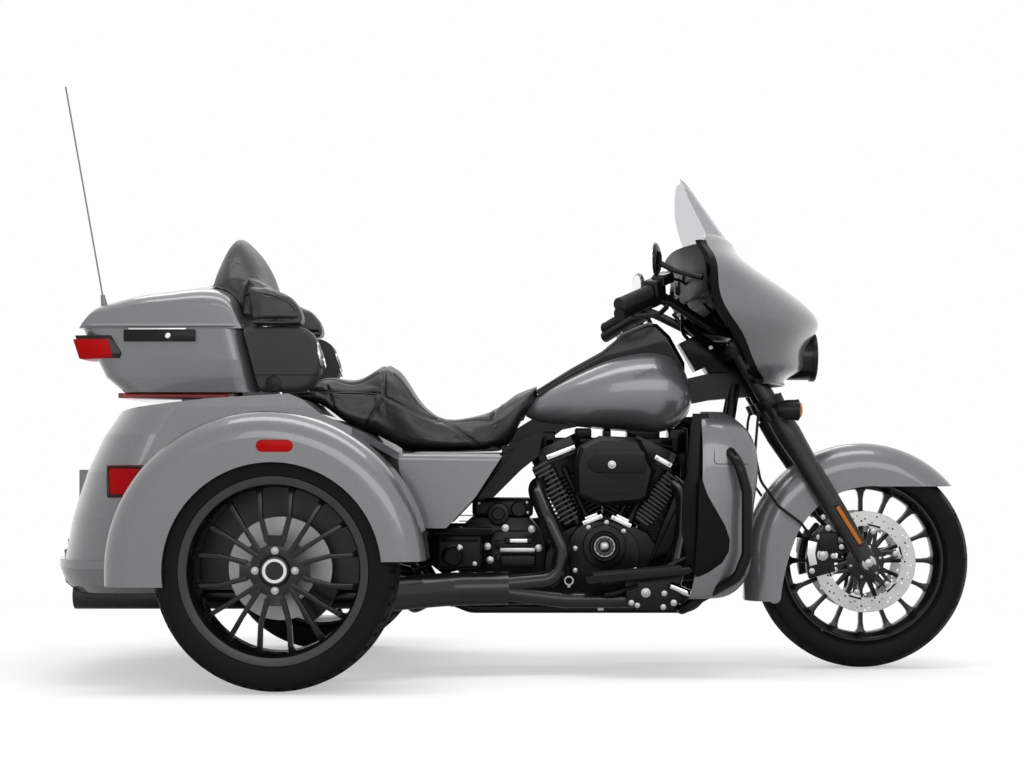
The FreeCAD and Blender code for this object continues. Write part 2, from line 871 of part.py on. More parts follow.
calipersNode = frontCalipers()
nodes += [frontFender(), calipersNode, brakeHoses(clampsNode.Shape, calipersNode.Shape)]
nodes.append(addPart("front_lamps", Part.makeCompound([frontLamps(), signalBar()])))


# Fairing and windshield

fairingRows = [
    # height, nose x, wing edge x, share of the half width
    (842, 790, 698, 0.44),
    (880, 826, 676, 0.56),
    (930, 842, 646, 0.70),
    (985, 868, 612, 0.85),
    (1025, 884, 578, 0.94),
    (1075, 848, 550, 0.99),
    (1131, 768, 542, 1.00),
    (1190, 676, 534, 0.93),
    (1228, 640, 518, 0.84),
    (1262, 614, 524, 0.70),
]


def wingCurve(nose, edge, half):
    """Plan view of the batwing: a round nose that sweeps back to both wing edges."""
    depth = nose - edge
    right = [
        (edge, -half),
        (edge + depth * 0.30, -half * 0.90),
        (edge + depth * 0.62, -half * 0.70),
        (edge + depth * 0.88, -half * 0.40),
    ]
    left = [(x, -y) for x, y in reversed(right)]
    return right + [(nose, 0)] + left


def batwing(start, thickness, rows):
    """A shell that begins at a depth inside the batwing's skin."""
    wires = []
    for height, nose, edge, share in rows:
        curve = wingCurve(nose, edge, share * float(size.fairingHalfWidth))
        wires.append(shellWire(curve, thickness, height, start))
    return loft(wires)


def wingEdgePoint(row, along, inward):
    """A point beside the right wing's rear edge, measured along the skin and into the wing."""
    height, nose, edge, share = row
    first, second = wingCurve(nose, edge, share * float(size.fairingHalfWidth))[:2]
    start = vector(first[0], first[1], height)
    forward = (vector(second[0], second[1], height) - start).normalize()
    return start + forward * along + vector(-forward.y, forward.x, 0) * inward


def lampHole(extra):
    radius = float(size.lampRadius) + extra
    return Part.makeCylinder(radius, 400, vector(700, 0, float(size.lampHeight)), vector(1, 0, 0))


def outerFairing():
    shell = batwing(0, float(size.fairingWall), fairingRows)
    return addPart("outer_fairing", shell.cut(lampHole(gap)))


def innerFairing(skin):
    """Black liner inside the batwing's skin, with the lips that cap its rear edges."""
    inside = float(size.fairingWall) + 0.6
    liner = batwing(inside, 5, fairingRows)
    section = [(-26, 1), (-1.2, 0), (-1.2, inside + 0.6), (2, inside + 0.8), (2, inside + 4.6), (-26, 19)]
    lip = loft([polygon([wingEdgePoint(row, *place) for place in section]) for row in fairingRows])
    lip = lip.cut(skin).cut(moved(skin, -gap, 0, 0))
    whole = liner.cut(lampHole(1)).fuse(lip).fuse(mirrored(lip))
    return addPart("inner_fairing", whole.common(block(0, 1200, -600, 600, 800, 1236)))


def dashPanel(liner):
    """Instrument panel between the upper wings of the liner, bulging towards the rider."""
    wires = []
    for row in fairingRows:
        height, edge = row[0], row[2]
        if 1060 < height < 1240:
            rear = wingEdgePoint(row, -14, 20)
            front = wingEdgePoint(row, 40, 18)
            bulge = edge - 74
            wires.append(Part.Wire([
                spline([(rear.x, rear.y, height), (bulge, rear.y * 0.55, height), (bulge - 10, 0, height),
                        (bulge, -rear.y * 0.55, height), (rear.x, -rear.y, height)]),
                Part.LineSegment(vector(rear.x, -rear.y, height), vector(front.x, -front.y, height)).toShape(),
                Part.LineSegment(vector(front.x, -front.y, height), front).toShape(),
                Part.LineSegment(front, rear).toShape(),
            ]))
    return addPart("dash_panel", loft(wires).cut(liner))


def windshield():
    """Smoked screen that stands on the fairing's top edge."""
    half = float(size.fairingHalfWidth)
    rows = [
        (1262 + gap, 613, 526, 0.69 * half),
        (1320, 571, 500, 0.64 * half),
        (1370, 536, 482, 0.54 * half),
        (1412, 507, 474, 0.41 * half),
        (1440, 487, 470, 0.27 * half),
        (1454, 477, 469, 0.14 * half),
    ]
    wires = [shellWire(wingCurve(nose, edge, wide), float(size.shieldWall), height)
             for height, nose, edge, wide in rows]
    return addPart("windshield", loft(wires))


outerNode = outerFairing()
innerNode = innerFairing(outerNode.Shape)
nodes += [outerNode, innerNode, dashPanel(innerNode.Shape), windshield()]


# Frame

railZ = float(size.railHeight)
railY = float(size.railHalfSpread)
railR = float(size.railRadius)
seatRailZ = float(size.seatRailHeight)


def mainFrame():
    """Neck, backbone, down tubes, lower rails, seat posts and seat rails in one welded piece."""
    neckLow = neckMiddle - steerUp * neckHalf
    neck = Part.makeCylinder(float(size.neckRadius), float(size.neckLength), neckLow, steerUp)
    bore = Part.makeCylinder(float(size.stemRadius) + 0.05, float(size.neckLength) + 2, neckLow - steerUp, steerUp)
    backbone = prism([
        (neckMiddle.x + 18, 812), (neckMiddle.x - 14, 902), (560, 880), (60, 762), (-40, 700), (-40, 652),
        (40, 652), (120, 712), (560, 800),
    ], -32, 32)
    down = tube([
        (636, -22, 846), (586, -88, 560), (548, -railY, 330), (512, -railY, railZ),
        (-150, -railY, railZ), (-265, -railY, 236), (-318, -railY, 330),
        (-318, -railY, 520), (-240, -122, seatRailZ - 30),
    ], railR, 60)
    seatRail = block(rx + 305 + gap, -20, -148, -98, seatRailZ - 42, seatRailZ - gap)
    cheek = block(-60, -20, -148, 0, seatRailZ - 42, seatRailZ + 20)
    strut = prism([(64, 710), (0, 681), (-128, 511), (-84, 511), (-4, 591), (45, 630)], -196, -136)
    lug = block(-40, 20, -170, -20, 650, 672)
    crossings = []
    for x in (90, 388, -205):
        height = railZ + (18 if x < -150 else 0)
        crossings.append(cylinderY(x, height, railR, -railY, 0))
    engineTab = block(478, 540, -railY - 8, -20, 300, 322)
    guardLug = block(580, 606, -100, -72, 592, 620)
    guardFoot = block(444, 476, -178, -railY, 176, 204)
    right = united([down, seatRail, cheek, strut, lug, engineTab, guardLug, guardFoot] + crossings)
    frame = united([neck, backbone, right, mirrored(right)])
    return addPart("main_frame", frame.cut(bore))


def axleHousing():
    """Differential, axle tubes, hub carriers, brake calipers and the two trailing arms."""
    inner = float(size.rearWheelHalfTrack) - 40 - gap - float(size.rearDiscThickness)
    ball = Part.makeSphere(104, vector(rx, 0, rz))
    ball = ball.common(block(rx - 120, rx + 120, -86, 86, rz - 120, rz + 120))
    tubeR = cylinderY(rx, rz, 36, -inner + 22, 0)
    flange = cylinderY(rx, rz, 62, -inner + 8, -inner + 24)
    stub = cylinderY(rx, rz, 33, -inner - float(size.rearDiscThickness), -inner + 20)
    arm = tube([(rx, -railY, rz - 10), (rx + 160, -railY, rz - 20), (-300 - 6, -railY, 262)], 24, 60)
    plateArc = cylinderY(rx, rz, 158, -inner + 10, -inner + 20)
    reach = 300
    first, last = math.radians(-64), math.radians(-16)
    wedge = prism([
        (rx, rz), (rx + reach * math.cos(first), rz + reach * math.sin(first)),
        (rx + reach * math.cos(last), rz + reach * math.sin(last)),
    ], -700, 0)
    bracket = plateArc.common(wedge)
    outerY = float(size.rearWheelHalfTrack) - 40 + 14
    caliper = cylinderY(rx, rz, 168, -outerY, -inner + 10).common(wedge)
    caliper = caliper.cut(cylinderY(rx, rz, 100, -outerY - 1, -inner + 12))
    slot = cylinderY(rx, rz, float(size.rearDiscRadius) + 5, -outerY + 8, -inner + 6)
    caliper = caliper.cut(slot)
    right = united([tubeR, flange, stub, arm, bracket, caliper]).cut(moved(frameShape, -gap, 0, 0))
    return addPart("axle_housing", united([ball, right, mirrored(right)]))


frameNode = mainFrame()
frameShape = frameNode.Shape
nodes += [frameNode, axleHousing()]


# Engine

crankX = float(size.crankX)
crankZ = float(size.crankHeight)
cylinderTilt = math.radians(float(size.cylinderLean))
caseEndX = crankX + float(size.deckHeight) * math.sin(cylinderTilt) + 92 * math.cos(cylinderTilt)
caseEndZ = crankZ + float(size.deckHeight) * math.cos(cylinderTilt) - 92 * math.sin(cylinderTilt)
caseBackX = 2 * crankX - caseEndX


def crankcase():
    """Crankcase with two sloping cylinder decks and the round cam cover on its right."""
    half = float(size.caseHalfWidth)
    peak = crankZ + float(size.deckHeight) / math.cos(cylinderTilt)
    outX, outZ, backX = caseEndX, caseEndZ, caseBackX
    bottom = railZ + railR + gap
    body = newBody("crankcase")
    outline = [
        (outX, outZ), (crankX, peak), (backX, outZ), (backX - 40, outZ - 60), (backX - 50, bottom + 40),
        (backX - 10, bottom), (outX + 10, bottom), ((outX + 62, bottom + 70), (outX + 50, outZ - 70)),
    ]
    sketch = newSketch(body, "caseOutline", "XZ_Plane", (0, 0, 0), [outline])
    addPad(body, "casePad", sketch, 2 * size.caseHalfWidth, True)
    cover = newSketch(body, "camCoverOutline", "XZ_Plane", (0, 0, size.caseHalfWidth), [[
        (crankX - 92, crankZ - 70), (crankX + 78, crankZ - 70), ((crankX + 104, crankZ - 10), (crankX + 88, crankZ + 46)),
        (crankX + 40, crankZ + 92), (crankX - 40, crankZ + 92), ((crankX - 100, crankZ + 40), (crankX - 104, crankZ - 20)),
    ]])
    addPad(body, "camCoverPad", cover, 44)
    boss = newSketch(body, "camBossOutline", "XZ_Plane", (0, 0, half + 44), [], [(crankX, crankZ + 19, 62)])
    addPad(body, "camBossPad", boss, 16)
    ring = newSketch(body, "camRingOutline", "XZ_Plane", (0, 0, half + 60), [], [(crankX, crankZ + 19, 44)])
    addPad(body, "camRingPad", ring, 8)
    return body


def cylinder(label, direction):
    """Finned barrel, head and rocker cover along one leaning axis, cut off at the middle plane."""
    body = newBody(label + "_stack")
    gapUp = size.deckHeight + gap
    core = newSketch(body, label + "Core", "XY_Plane", (0, 0, gapUp), [], [(0, 0, size.barrelRadius)])
    addPad(body, label + "CorePad", core, size.finCount * size.finPitch + 20)
    wide, deep = size.finRadius, size.finHalfDepth
    cut = 34
    finLoop = [
        (-wide, -deep + cut), (-wide + cut, -deep), (wide - cut, -deep), (wide, -deep + cut),
        (wide, deep - cut), (wide - cut, deep), (-wide + cut, deep), (-wide, deep - cut),
    ]
    fin = newSketch(body, label + "Fin", "XY_Plane", (0, 0, gapUp + 8), [finLoop])
    finPad = addPad(body, label + "FinPad", fin, size.finThickness)
    row = body.newObject("PartDesign::LinearPattern", label + "Fins")
    row.Originals = [finPad]
    row.Direction = (fin, ["N_Axis"])
    bind(row, "Length", (size.finCount - 1) * size.finPitch)
    bind(row, "Occurrences", size.finCount)
    body.Tip = row
    headStart = gapUp + 8 + size.finCount * size.finPitch
    head = newSketch(body, label + "Head", "XY_Plane", (0, 0, headStart), [[
        (-wide + 4, -deep + 30), (-wide + 30, -deep - 2), (wide - 30, -deep - 2), (wide - 4, -deep + 30),
        (wide - 4, deep - 30), (wide - 30, deep), (-wide + 30, deep), (-wide + 4, deep - 30),
    ]])
    addPad(body, label + "HeadPad", head, 58)
    rocker = newSketch(body, label + "Rocker", "XY_Plane", (0, 0, headStart + 58), [[
        (-wide + 14, -deep + 22), (-wide + 36, -deep - 14), (wide - 36, -deep - 14), (wide - 14, -deep + 22),
        (wide - 14, deep - 26), (wide - 36, deep - 6), (-wide + 36, deep - 6), (-wide + 14, deep - 26),
    ]])
    addPad(body, label + "RockerPad", rocker, 44)
    doc.recompute()
    angle = direction * float(size.cylinderLean)
    body.Placement = FreeCAD.Placement(vector(crankX, 0, crankZ), FreeCAD.Rotation(vector(0, 1, 0), angle))
    tool = doc.addObject("Part::Box", label + "MiddleCut")
    bind(tool, "Length", 300)
    bind(tool, "Width", 400)
    bind(tool, "Height", 600)
    shift = -298 if direction > 0 else -2
    tool.Placement = FreeCAD.Placement(vector(crankX + shift, -200, crankZ), FreeCAD.Rotation())
    result = doc.addObject("Part::Cut", label + "Trimmed")
    result.Base = body
    result.Tool = tool
    result.Label = label
    return result


def pushrodTubes():
    """Four pushrod tubes from the cam cover's tappet blocks up to the rocker covers."""
    lean = cylinderTilt
    radius = float(size.pushrodRadius)
    doc.recompute()
    seat = crankcaseBody.Shape.copy()
    seat.translate(vector(0, 0, gap))
    offset = float(size.finHalfDepth) + radius + 3
    pieces = []
    for direction in (-1, 1):
        for shift in (-20, 16):
            foot = vector(crankX + direction * 56 + shift, -offset - 14, crankZ + 84)
            along = vector(direction * math.sin(lean), 0, math.cos(lean))
            pieces.append(Part.makeCylinder(radius, 180, foot, along))
            pieces.append(Part.makeCylinder(radius + 5, 34, foot, along))
    grouped = [united(pieces[index:index + 2]).cut(seat) for index in range(0, 8, 2)]
    return addPart("pushrod_tubes", Part.makeCompound(grouped))


def airCleaner():
    """Angular air cleaner cover on a round inlet between the cylinder heads."""
    outline = [
        (152, 520), (226, 486), (340, 494), (366, 508), (384, 592), (342, 678), (328, 686), (222, 690),
        (166, 662), (150, 610),
    ]
    cover = prism(outline, -232, -158)
    cover = cover.makeChamfer(14, [edge for edge in cover.Edges if flatEdges(-232)(edge)])
    raised = prism([(196, 606), (214, 590), (350, 594), (352, 640), (336, 652), (210, 650)], -236, -230)
    inlet = cylinderY(crankX, 628, 23, -160, -10)
    manifold = block(crankX - 60, crankX + 60, -58, -22, 606, 642)
    whole = united([cover, raised, inlet, manifold])
    return addPart("air_cleaner", whole.cut(frontCylinder.Shape).cut(rearCylinder.Shape))


def gearbox():
    """Gearbox behind the crankcase with its ribbed side cover."""
    bottom = railZ + 62
    body = plate("gearbox", [[
        (caseBackX - 50 - gap, bottom), (caseBackX - 40 - gap, caseEndZ - 60), (58, 408), (20, 452),
        (-150, 452), (-196, 410), (-196, 300), (-150, bottom),
    ]], -96, 192)
    cover = newSketch(body, "gearboxCover", "XZ_Plane", (0, 0, 96), [[
        (40, 300), (40, 396), (24, 412), (-78, 412), (-94, 396), (-94, 300), (-78, 284), (24, 284),
    ]])
    addPad(body, "gearboxCoverPad", cover, 26)
    rib = newSketch(body, "gearboxRib", "XZ_Plane", (0, 0, 122), [[
        (24, 322), (24, 344), (-78, 344), (-78, 322),
    ], [
        (24, 362), (24, 384), (-78, 384), (-78, 362),
    ]])
    addPad(body, "gearboxRibPad", rib, 10)
    return body


def primaryCover():
    """Long chain cover on the left side, over the crank's end and the clutch."""
    near = -float(size.caseHalfWidth) - gap - 62
    body = plate("primary_cover", [[
        (crankX, 458), ((crankX + 108, 350), (crankX, 242)), (-40, 222), ((-148, 330), (-40, 438)),
    ]], near, 62)
    addFillet(body, "primaryRound", 16, flatEdges(-near))
    clutch = newSketch(body, "clutchRing", "XZ_Plane", (0, 0, near - 10), [], [(-40, 330, 74)])
    addPad(body, "clutchRingPad", clutch, 14)
    return body


crankcaseBody = crankcase()
frontCylinder = cylinder("front_cylinder", 1)
rearCylinder = cylinder("rear_cylinder", -1)
nodes += [crankcaseBody, frontCylinder, rearCylinder, pushrodTubes()]
nodes += [airCleaner(), gearbox(), primaryCover()]


# Exhaust

def exhaust():
    """Two headers into a collector, a muffler on each side and the pipe that crosses under."""
    header = float(size.headerRadius)
    side = float(size.mufflerOffset)
    height = float(size.mufflerHeight)
    rearHeader = tube([
        (62, -92, 552), (36, -150, 540), (74, -206, 452), (116, -214, 362), (102, -214, 276), (10, -222, 268),
        (-60, -228, 262),
    ], header, 60)
    frontHeader = tube([
        (440, -96, 556), (474, -140, 520), (470, -178, 400), (430, -206, 240), (360, -214, 218),
        (120, -216, 218), (-60, -228, 240),
    ], header - 1, 70)
    collector = tube([(-40, -228, 252), (-200, -236, 250), (-300, -290, 246), (-400, -side, height)],
                     float(size.collectorRadius), 120)
    muffler = Part.makeCylinder(float(size.mufflerRadius), 860, vector(-390, -side, height), vector(-1, 0, 0))
    tip = Part.makeCylinder(float(size.mufflerRadius) - 4, 60, vector(-1250, -side, height), vector(1, 0, 0))
    muffler = muffler.cut(tip)
    cross = tube([(-240, -262, 246), (-312, -205, 204), (-312, 205, 204), (-340, 300, 236), (-400, side, height)],
                 27, 70)
    pieces = [rearHeader, frontHeader, collector, muffler, mirrored(muffler), cross]
    return addPart("exhaust", united(pieces).cut(frontCylinder.Shape).cut(rearCylinder.Shape))


nodes.append(exhaust())


# Tank, console and fuel door

tankRows = [
    # x, top, bottom, half width
    (-2, 776, 752, 26),
    (37, 809, 737, 66),
    (99, 850, 727, 100),
    (181, 891, 719, 132),
    (263, 924, 710, 153),
    (324, 938, 705, 163),
    (385, 943, 701, 167),
    (435, 932, 709, 160),
    (468, 908, 728, 143),
    (492, 866, 756, 112),
    (504, 830, 786, 66),
]


def tankSolid():
    return loft([roundSection(*row) for row in tankRows])


def fuelTank():
    tunnel = prism([(-20, 600), (-20, 746), (60, 768), (560, 886), (560, 600)], -36, 36)
    return addPart("fuel_tank", tankSolid().cut(tunnel))


consoleTop = [(40, 828), (144, 893), (236, 944), (278, 979), (291, 996), (372, 1030), (401, 1026), (439, 990), (482, 912)]
flapStart, flapEnd = (300, 1000), (364, 1026.9)


def tankConsole():
    """Raised spine that runs down the middle of the tank."""
    under = [(482, 880), (440, 900), (385, 915), (263, 895), (181, 862), (99, 820), (60, 800)]
    spine = prism(consoleTop + under, -62, 62)
    spine = spine.makeFillet(14, [edge for edge in spine.Edges if isTopEdge(edge)])
    return addPart("tank_console", spine.cut(tankSolid()))


def isTopEdge(edge):
    """The long side edges of the console's upper faces."""
    box = edge.BoundBox
    onSide = abs(abs(box.YMin) - 62) < 0.01 and box.YLength < 0.01
    middle = edge.valueAt((edge.FirstParameter + edge.LastParameter) / 2)
    for first, last in zip(consoleTop, consoleTop[1:]):
        if abs(middle.x - (first[0] + last[0]) / 2) < 1 and abs(middle.z - (first[1] + last[1]) / 2) < 1:
            return onSide
    return False


def fuelDoor():
    """Flap over the filler, lying on the console's sloping top."""
    startX, startZ = flapStart
    endX, endZ = flapEnd
    slope = math.atan2(endZ - startZ, endX - startX)
    length = math.hypot(endX - startX, endZ - startZ)
    flap = Part.makeBox(length, 72, 6, vector(0, -36, 0.4))
    flap = flap.makeFillet(12, [edge for edge in flap.Edges if edge.BoundBox.ZLength > 5])
    flap.rotate(vector(0, 0, 0), vector(0, 1, 0), -math.degrees(slope))
    flap.translate(vector(startX, 0, startZ))
    return addPart("fuel_door", flap)


consoleNode = tankConsole()
nodes += [fuelTank(), consoleNode, fuelDoor()]


# Rear body

deckLine = [
    # distance ahead of the rear hub, height
    (305, 641), (217, 696), (104, 746), (51, 786), (11, 803), (-216, 789), (-433, 763), (-505, 750),
]

bodyRows = [
    # height, rear end behind the hub, half width
    (262, -640, 472),
    (345, -664, 494),
    (462, -641, 500),
    (586, -601, 500),
    (689, -553, 490),
    (764, -505, 466),
    (830, -465, 430),
]

bumperRows = [
    (254, -642, 470),
    (276, -664, 486),
    (322, -680, 496),
    (345, -680, 496),
]


doorHingeX = rx - float(size.doorHingeSet)
doorHingeZ = float(size.doorHingeHeight)
hingeStarts = (-190, 130)


def tailWire(height, rear, half):
    """Plan view of the body at one height: a bowed tail, straight sides, tapered front."""
    tail = [
        (rear + 210, -half), (rear + 128, -half * 0.97), (rear + 48, -half * 0.76), (rear + 10, -half * 0.36),
        (rear, 0),
    ]
    tail += [(x, -y) for x, y in reversed(tail[:-1])]
    front = [(190, half), (305, 300), (305, -300), (190, -half)]
    edges = [spline([(rx + x, y, height) for x, y in tail])]
    corners = [tail[-1]] + front + [tail[0]]
    for begin, finish in zip(corners, corners[1:]):
        edges.append(Part.LineSegment(vector(rx + begin[0], begin[1], height),
                                      vector(rx + finish[0], finish[1], height)).toShape())
    return Part.Wire(edges)


def deckPrism(drop, half):
    """Everything below the deck line, lowered by drop."""
    points = [(rx + x, z - drop) for x, z in deckLine]
    points += [(rx - 760, 745 - drop), (rx - 760, 150), (rx + 305, 150)]
    return prism(points, -half, half)


def bodySolid():
    hull = loft([tailWire(*row) for row in bodyRows], True)
    return hull.common(deckPrism(0, 600))


def rearFender():
    """Round wheel cover on the right side, before the wheel well is cut."""
    radius = float(size.rearFenderRadius)
    centreX, centreZ = rx - 26, 323
    outer = float(size.rearFenderHalfSpan)
    back = centreX - math.sqrt(radius ** 2 - 38 ** 2)
    ahead = centreX + math.sqrt(radius ** 2 - 29 ** 2)
    shape = prism([
        (back, centreZ - 38), ((centreX, centreZ + radius), (ahead, centreZ + 29)), (rx + 200, centreZ + 29),
        (rx - 200, centreZ - 38),
    ], -outer, -430)

    def rim(edge):
        box = edge.BoundBox
        return abs(box.YMin + outer) < 0.01 and box.YLength < 0.01 and box.ZMax > 700
    return roundedEdges(shape, float(size.rearFenderRound), rim)


def sideMarker(extra, above, depth):
    """Rounded marker lamp let into the right fender's outer face."""
    outside = -float(size.rearFenderHalfSpan)
    return prism([
        (rx - 24, 640 - extra), ((rx - 40 - extra, 656), (rx - 24, 672 + extra)), (rx + 40, 672 + extra),
        ((rx + 56 + extra, 656), (rx + 40, 640 - extra)),
    ], outside - above, outside + depth)


def wheelWell():
    """Space of the right wheel: the deep well and the smaller opening in the outer skin."""
    outer = float(size.rearFenderHalfSpan)
    well = cylinderY(rx, rz, float(size.wellRadius), -outer + 14, -float(size.wellInner))
    mouth = cylinderY(rx, rz, float(size.wheelOpeningRadius), -outer - 10, -float(size.wellInner))
    return well.fuse(mouth)


def trunkSpace(solid):
    """Inside of the trunk, behind the axle, following the body's bowed tail."""
    wall = float(size.bodyWall)
    inner = solid.copy()
    inner.translate(vector(wall, 0, 0))
    return inner.common(block(rx - 700, rx - 150, -404, 404, 296, 735))


def rearBody():
    solid = bodySolid()
    bumper = loft([tailWire(*row) for row in bumperRows], True)
    bumper = bumper.common(block(rx - 700, rx - 350, -600, 600, 200, 345))
    pedestal = block(rx - 345, rx - 170, -120, 120, 740, 799 - gap)
    saddle = block(rx - 166, rx - 45, -120, 120, 740, float(size.packFloor) - gap)
    fender = rearFender()
    body = united([solid, bumper, fender, mirrored(fender), pedestal, saddle])
    well = wheelWell()
    opening = block(rx - 720, rx - 480, -float(size.trunkDoorHalfWidth) - 5, float(size.trunkDoorHalfWidth) + 5,
                    float(size.trunkDoorBottom) - 5, float(size.trunkDoorTop) + 5)
    wall = float(size.bodyWall)
    under = deckPrism(wall, float(size.wellInner) - wall).common(block(rx - 128, rx + 340, -600, 600, 100, 900))
    muffler = cylinderX(-float(size.mufflerOffset)).fuse(cylinderX(float(size.mufflerOffset)))
    body = body.cut(Part.makeCompound([well, mirrored(well)])).cut(trunkSpace(solid)).cut(opening)
    body = body.cut(cylinderY(rx, rz, 42, -450, 450))
    marker = sideMarker(gap, 2, 6 + gap)
    body = body.cut(under).cut(muffler).cut(Part.makeCompound([marker, mirrored(marker)]))
    pins = []
    for start in hingeStarts:
        body = body.cut(block(rx - 700, rx - 612, start - 36, start + 96, doorHingeZ - 12, 368))
        for y in (start - gap - 30, start + 60 + gap):
            pins.append(cylinderY(doorHingeX, doorHingeZ, float(size.doorHingeRadius), y, y + 30))
            pins.append(block(doorHingeX - 5, doorHingeX + 5, y, y + 30, 335, doorHingeZ))
    return united([body] + pins)


def cylinderX(y):
    """Free way for one muffler under the body."""
    return Part.makeCylinder(float(size.mufflerRadius) + 6, 900, vector(rx - 700, y, float(size.mufflerHeight)),
                             vector(1, 0, 0))


def swingLimit():
    """Round space about the hinge line within which the door clears the body's upper lip."""
    rise = float(size.trunkDoorTop) - doorHingeZ
    points = [(0, 0, 360), (0, 0, -360)]
    for y in range(360, -361, -40):
        ahead = float(size.doorHingeSet) - 554.9 + 0.00034 * y * y
        points.insert(0, (math.hypot(ahead, rise) + 0.2, 0, y))
    shape = Part.Face(polygon(points)).revolve(vector(0, 0, 0), vector(0, 0, 1), 360)
    shape.rotate(vector(0, 0, 0), vector(1, 0, 0), 90)
    shape.translate(vector(doorHingeX, 0, doorHingeZ))
    return shape


def trunkDoor():
    """Drop-down door cut from the bowed tail, hinged along its lower edge."""
    solid = bodySolid()
    half = float(size.trunkDoorHalfWidth)
    skin = solid.common(block(rx - 720, rx - 480, -half, half, float(size.trunkDoorBottom), float(size.trunkDoorTop)))
    inner = solid.copy()
    inner.translate(vector(float(size.bodyWall) - 2, 0, 0))
    skin = skin.cut(inner).common(swingLimit())
    middle = float(size.plateHeight)
    face = rx - 651
    holder = block(face, rx - 600, -98, 98, middle - 62, middle + 62).cut(inner)
    holes = []
    for y in (-0.5, 0.5):
        for z in (-0.5, 0.5):
            place = vector(face - 5, y * float(size.plateBoltWide), middle + z * float(size.plateBoltHigh))
            holes.append(Part.makeCylinder(float(size.plateBoltRadius), 18, place, vector(1, 0, 0)))
    knuckles = []
    for start in hingeStarts:
        knuckles.append(cylinderY(doorHingeX, doorHingeZ, float(size.doorHingeRadius), start, start + 60))
        knuckles.append(block(doorHingeX - 4, doorHingeX + 30, start, start + 60, doorHingeZ - 4, 392))
    skin = united([skin, holder] + knuckles)
    return addPart("trunk_door", skin.cut(Part.makeCompound(holes)))


nodes.append(addPart("rear_body", rearBody()))
nodes.append(trunkDoor())


# Side covers and seat

def sideCovers():
    """Painted panels below the seat, with a top flange that lies on the seat rails."""
    near, far = 150 + gap, 288
    outline = [
        (rx + 305 + gap, seatRailZ - 2), (-66, seatRailZ - 5), (-58, 630), (-134, 513), (-217, 426), (-273, 426),
        (rx + 305 + gap, 590),
    ]
    whole = prism(outline, -far, -near)
    whole = whole.makeFillet(20, [edge for edge in whole.Edges
                                  if edge.BoundBox.YLength < 0.01 and abs(edge.BoundBox.YMin + far) < 0.01
                                  and edge.BoundBox.ZMin > 630])
    hollow = prism([(rx + 200, 628), (-84, 628), (-134, 540), (-134, 380), (rx + 200, 380)], -far + 9, -near + 30)
    return addPart("side_covers", both(whole.cut(hollow)))


seatRows = [
    # x, top, bottom, half width
    (42, 846, 822, 34),
    (22, 846, 770, 74),
    (-20, 812, 704, 108),
    (-62, 778, 650, 138),
    (-113, 753, 646, 165),
    (-189, 737, 645, 184),
    (-245, 743, 645, 190),
    (-295, 778, 645, 188),
    (-345, 850, 645, 180),
    (-388, 896, 662, 172),
    (-420, 892, 684, 172),
    (-455, 868, 700, 178),
    (-537, 858, 742, 184),
    (-610, 843, 790, 180),
    (-662, 828, 812, 160),
]


def seat():
    """Two-up saddle that steps up over the deck; its finish is made with the soft goods."""
    whole = loft([roundSection(x, top, bottom, half, 3.2) for x, top, bottom, half in seatRows])
    points = [(rx + x, z + gap) for x, z in deckLine[:5]]
    points += [(rx - 100, 797), (rx - 100, 400), (200, 400), (200, seatRailZ), (-60, seatRailZ)]
    under = prism(points, -400, 400)
    whole = whole.cut(under).cut(tankSolid()).cut(consoleNode.Shape)
    return addPart("seat", whole.cut(moved(frameShape, 0, 0, gap)))


nodes += [sideCovers(), seat()]


# Tour pack

packRows = [
    # height, rear x, front x, half width
    (814, -1146, -752, 268),
    (857, -1196, -764, 277),
    (906, -1219, -776, 284),
    (994, -1259, -796, 290),
]


def roundedPlan(height, rear, front, half, corner):
    """A rectangle with round corners in plan view."""
    def arc(x, y, first):
        centre = vector(x, y, height)
        points = [centre + vector(corner * math.cos(math.radians(first + step)),
                                  corner * math.sin(math.radians(first + step)), 0) for step in (0, 45, 90)]
        return Part.Arc(*points).toShape()
    corners = [
        (front - corner, half - corner, 0), (rear + corner, half - corner, 90),
        (rear + corner, -half + corner, 180), (front - corner, -half + corner, 270),
    ]
    arcs = [arc(*item) for item in corners]
    edges = []
    for index, item in enumerate(arcs):
        following = arcs[(index + 1) % 4]
        edges.append(item)
        edges.append(Part.LineSegment(item.valueAt(item.LastParameter),
                                      following.valueAt(following.FirstParameter)).toShape())
    return Part.Wire(edges)


def packBase():
    """Hollow lower half of the tour pack."""
    wall = float(size.packWall)
    outer = loft([roundedPlan(*row, 62) for row in packRows], True)
    rows = [(packRows[0][0] + wall, *packRows[0][1:])] + packRows[1:-1] + [(packRows[-1][0] + 1, *packRows[-1][1:])]
    inner = loft([roundedPlan(height, rear + wall, front - wall, half - wall, 62 - wall)
                  for height, rear, front, half in rows], True)
    return outer, outer.cut(inner)


def lidSection(y, share):
    """Side view of the lid at one distance from the middle, lower towards its sides."""
    seam = float(size.packSeam) + gap
    high = float(size.lidHeight) * share
    shrink = 12 * (1 - share)
    rear, front = -1264 + shrink, -790 - shrink
    points = [
        (rear, seam), (rear + 17, seam + high * 0.31), (rear + 36, seam + high * 0.50), (rear + 84, seam + high * 0.66),
        (-1106, seam + high * 0.82), (-1000, seam + high * 0.94), (-896, seam + high), (-846, seam + high * 0.88),
        (front - 14, seam + high * 0.34), (front, seam),
    ]
    top = spline([(x, y, z) for x, z in points])
    base = Part.LineSegment(vector(points[-1][0], y, seam), vector(points[0][0], y, seam)).toShape()
    return Part.Wire([top, base])


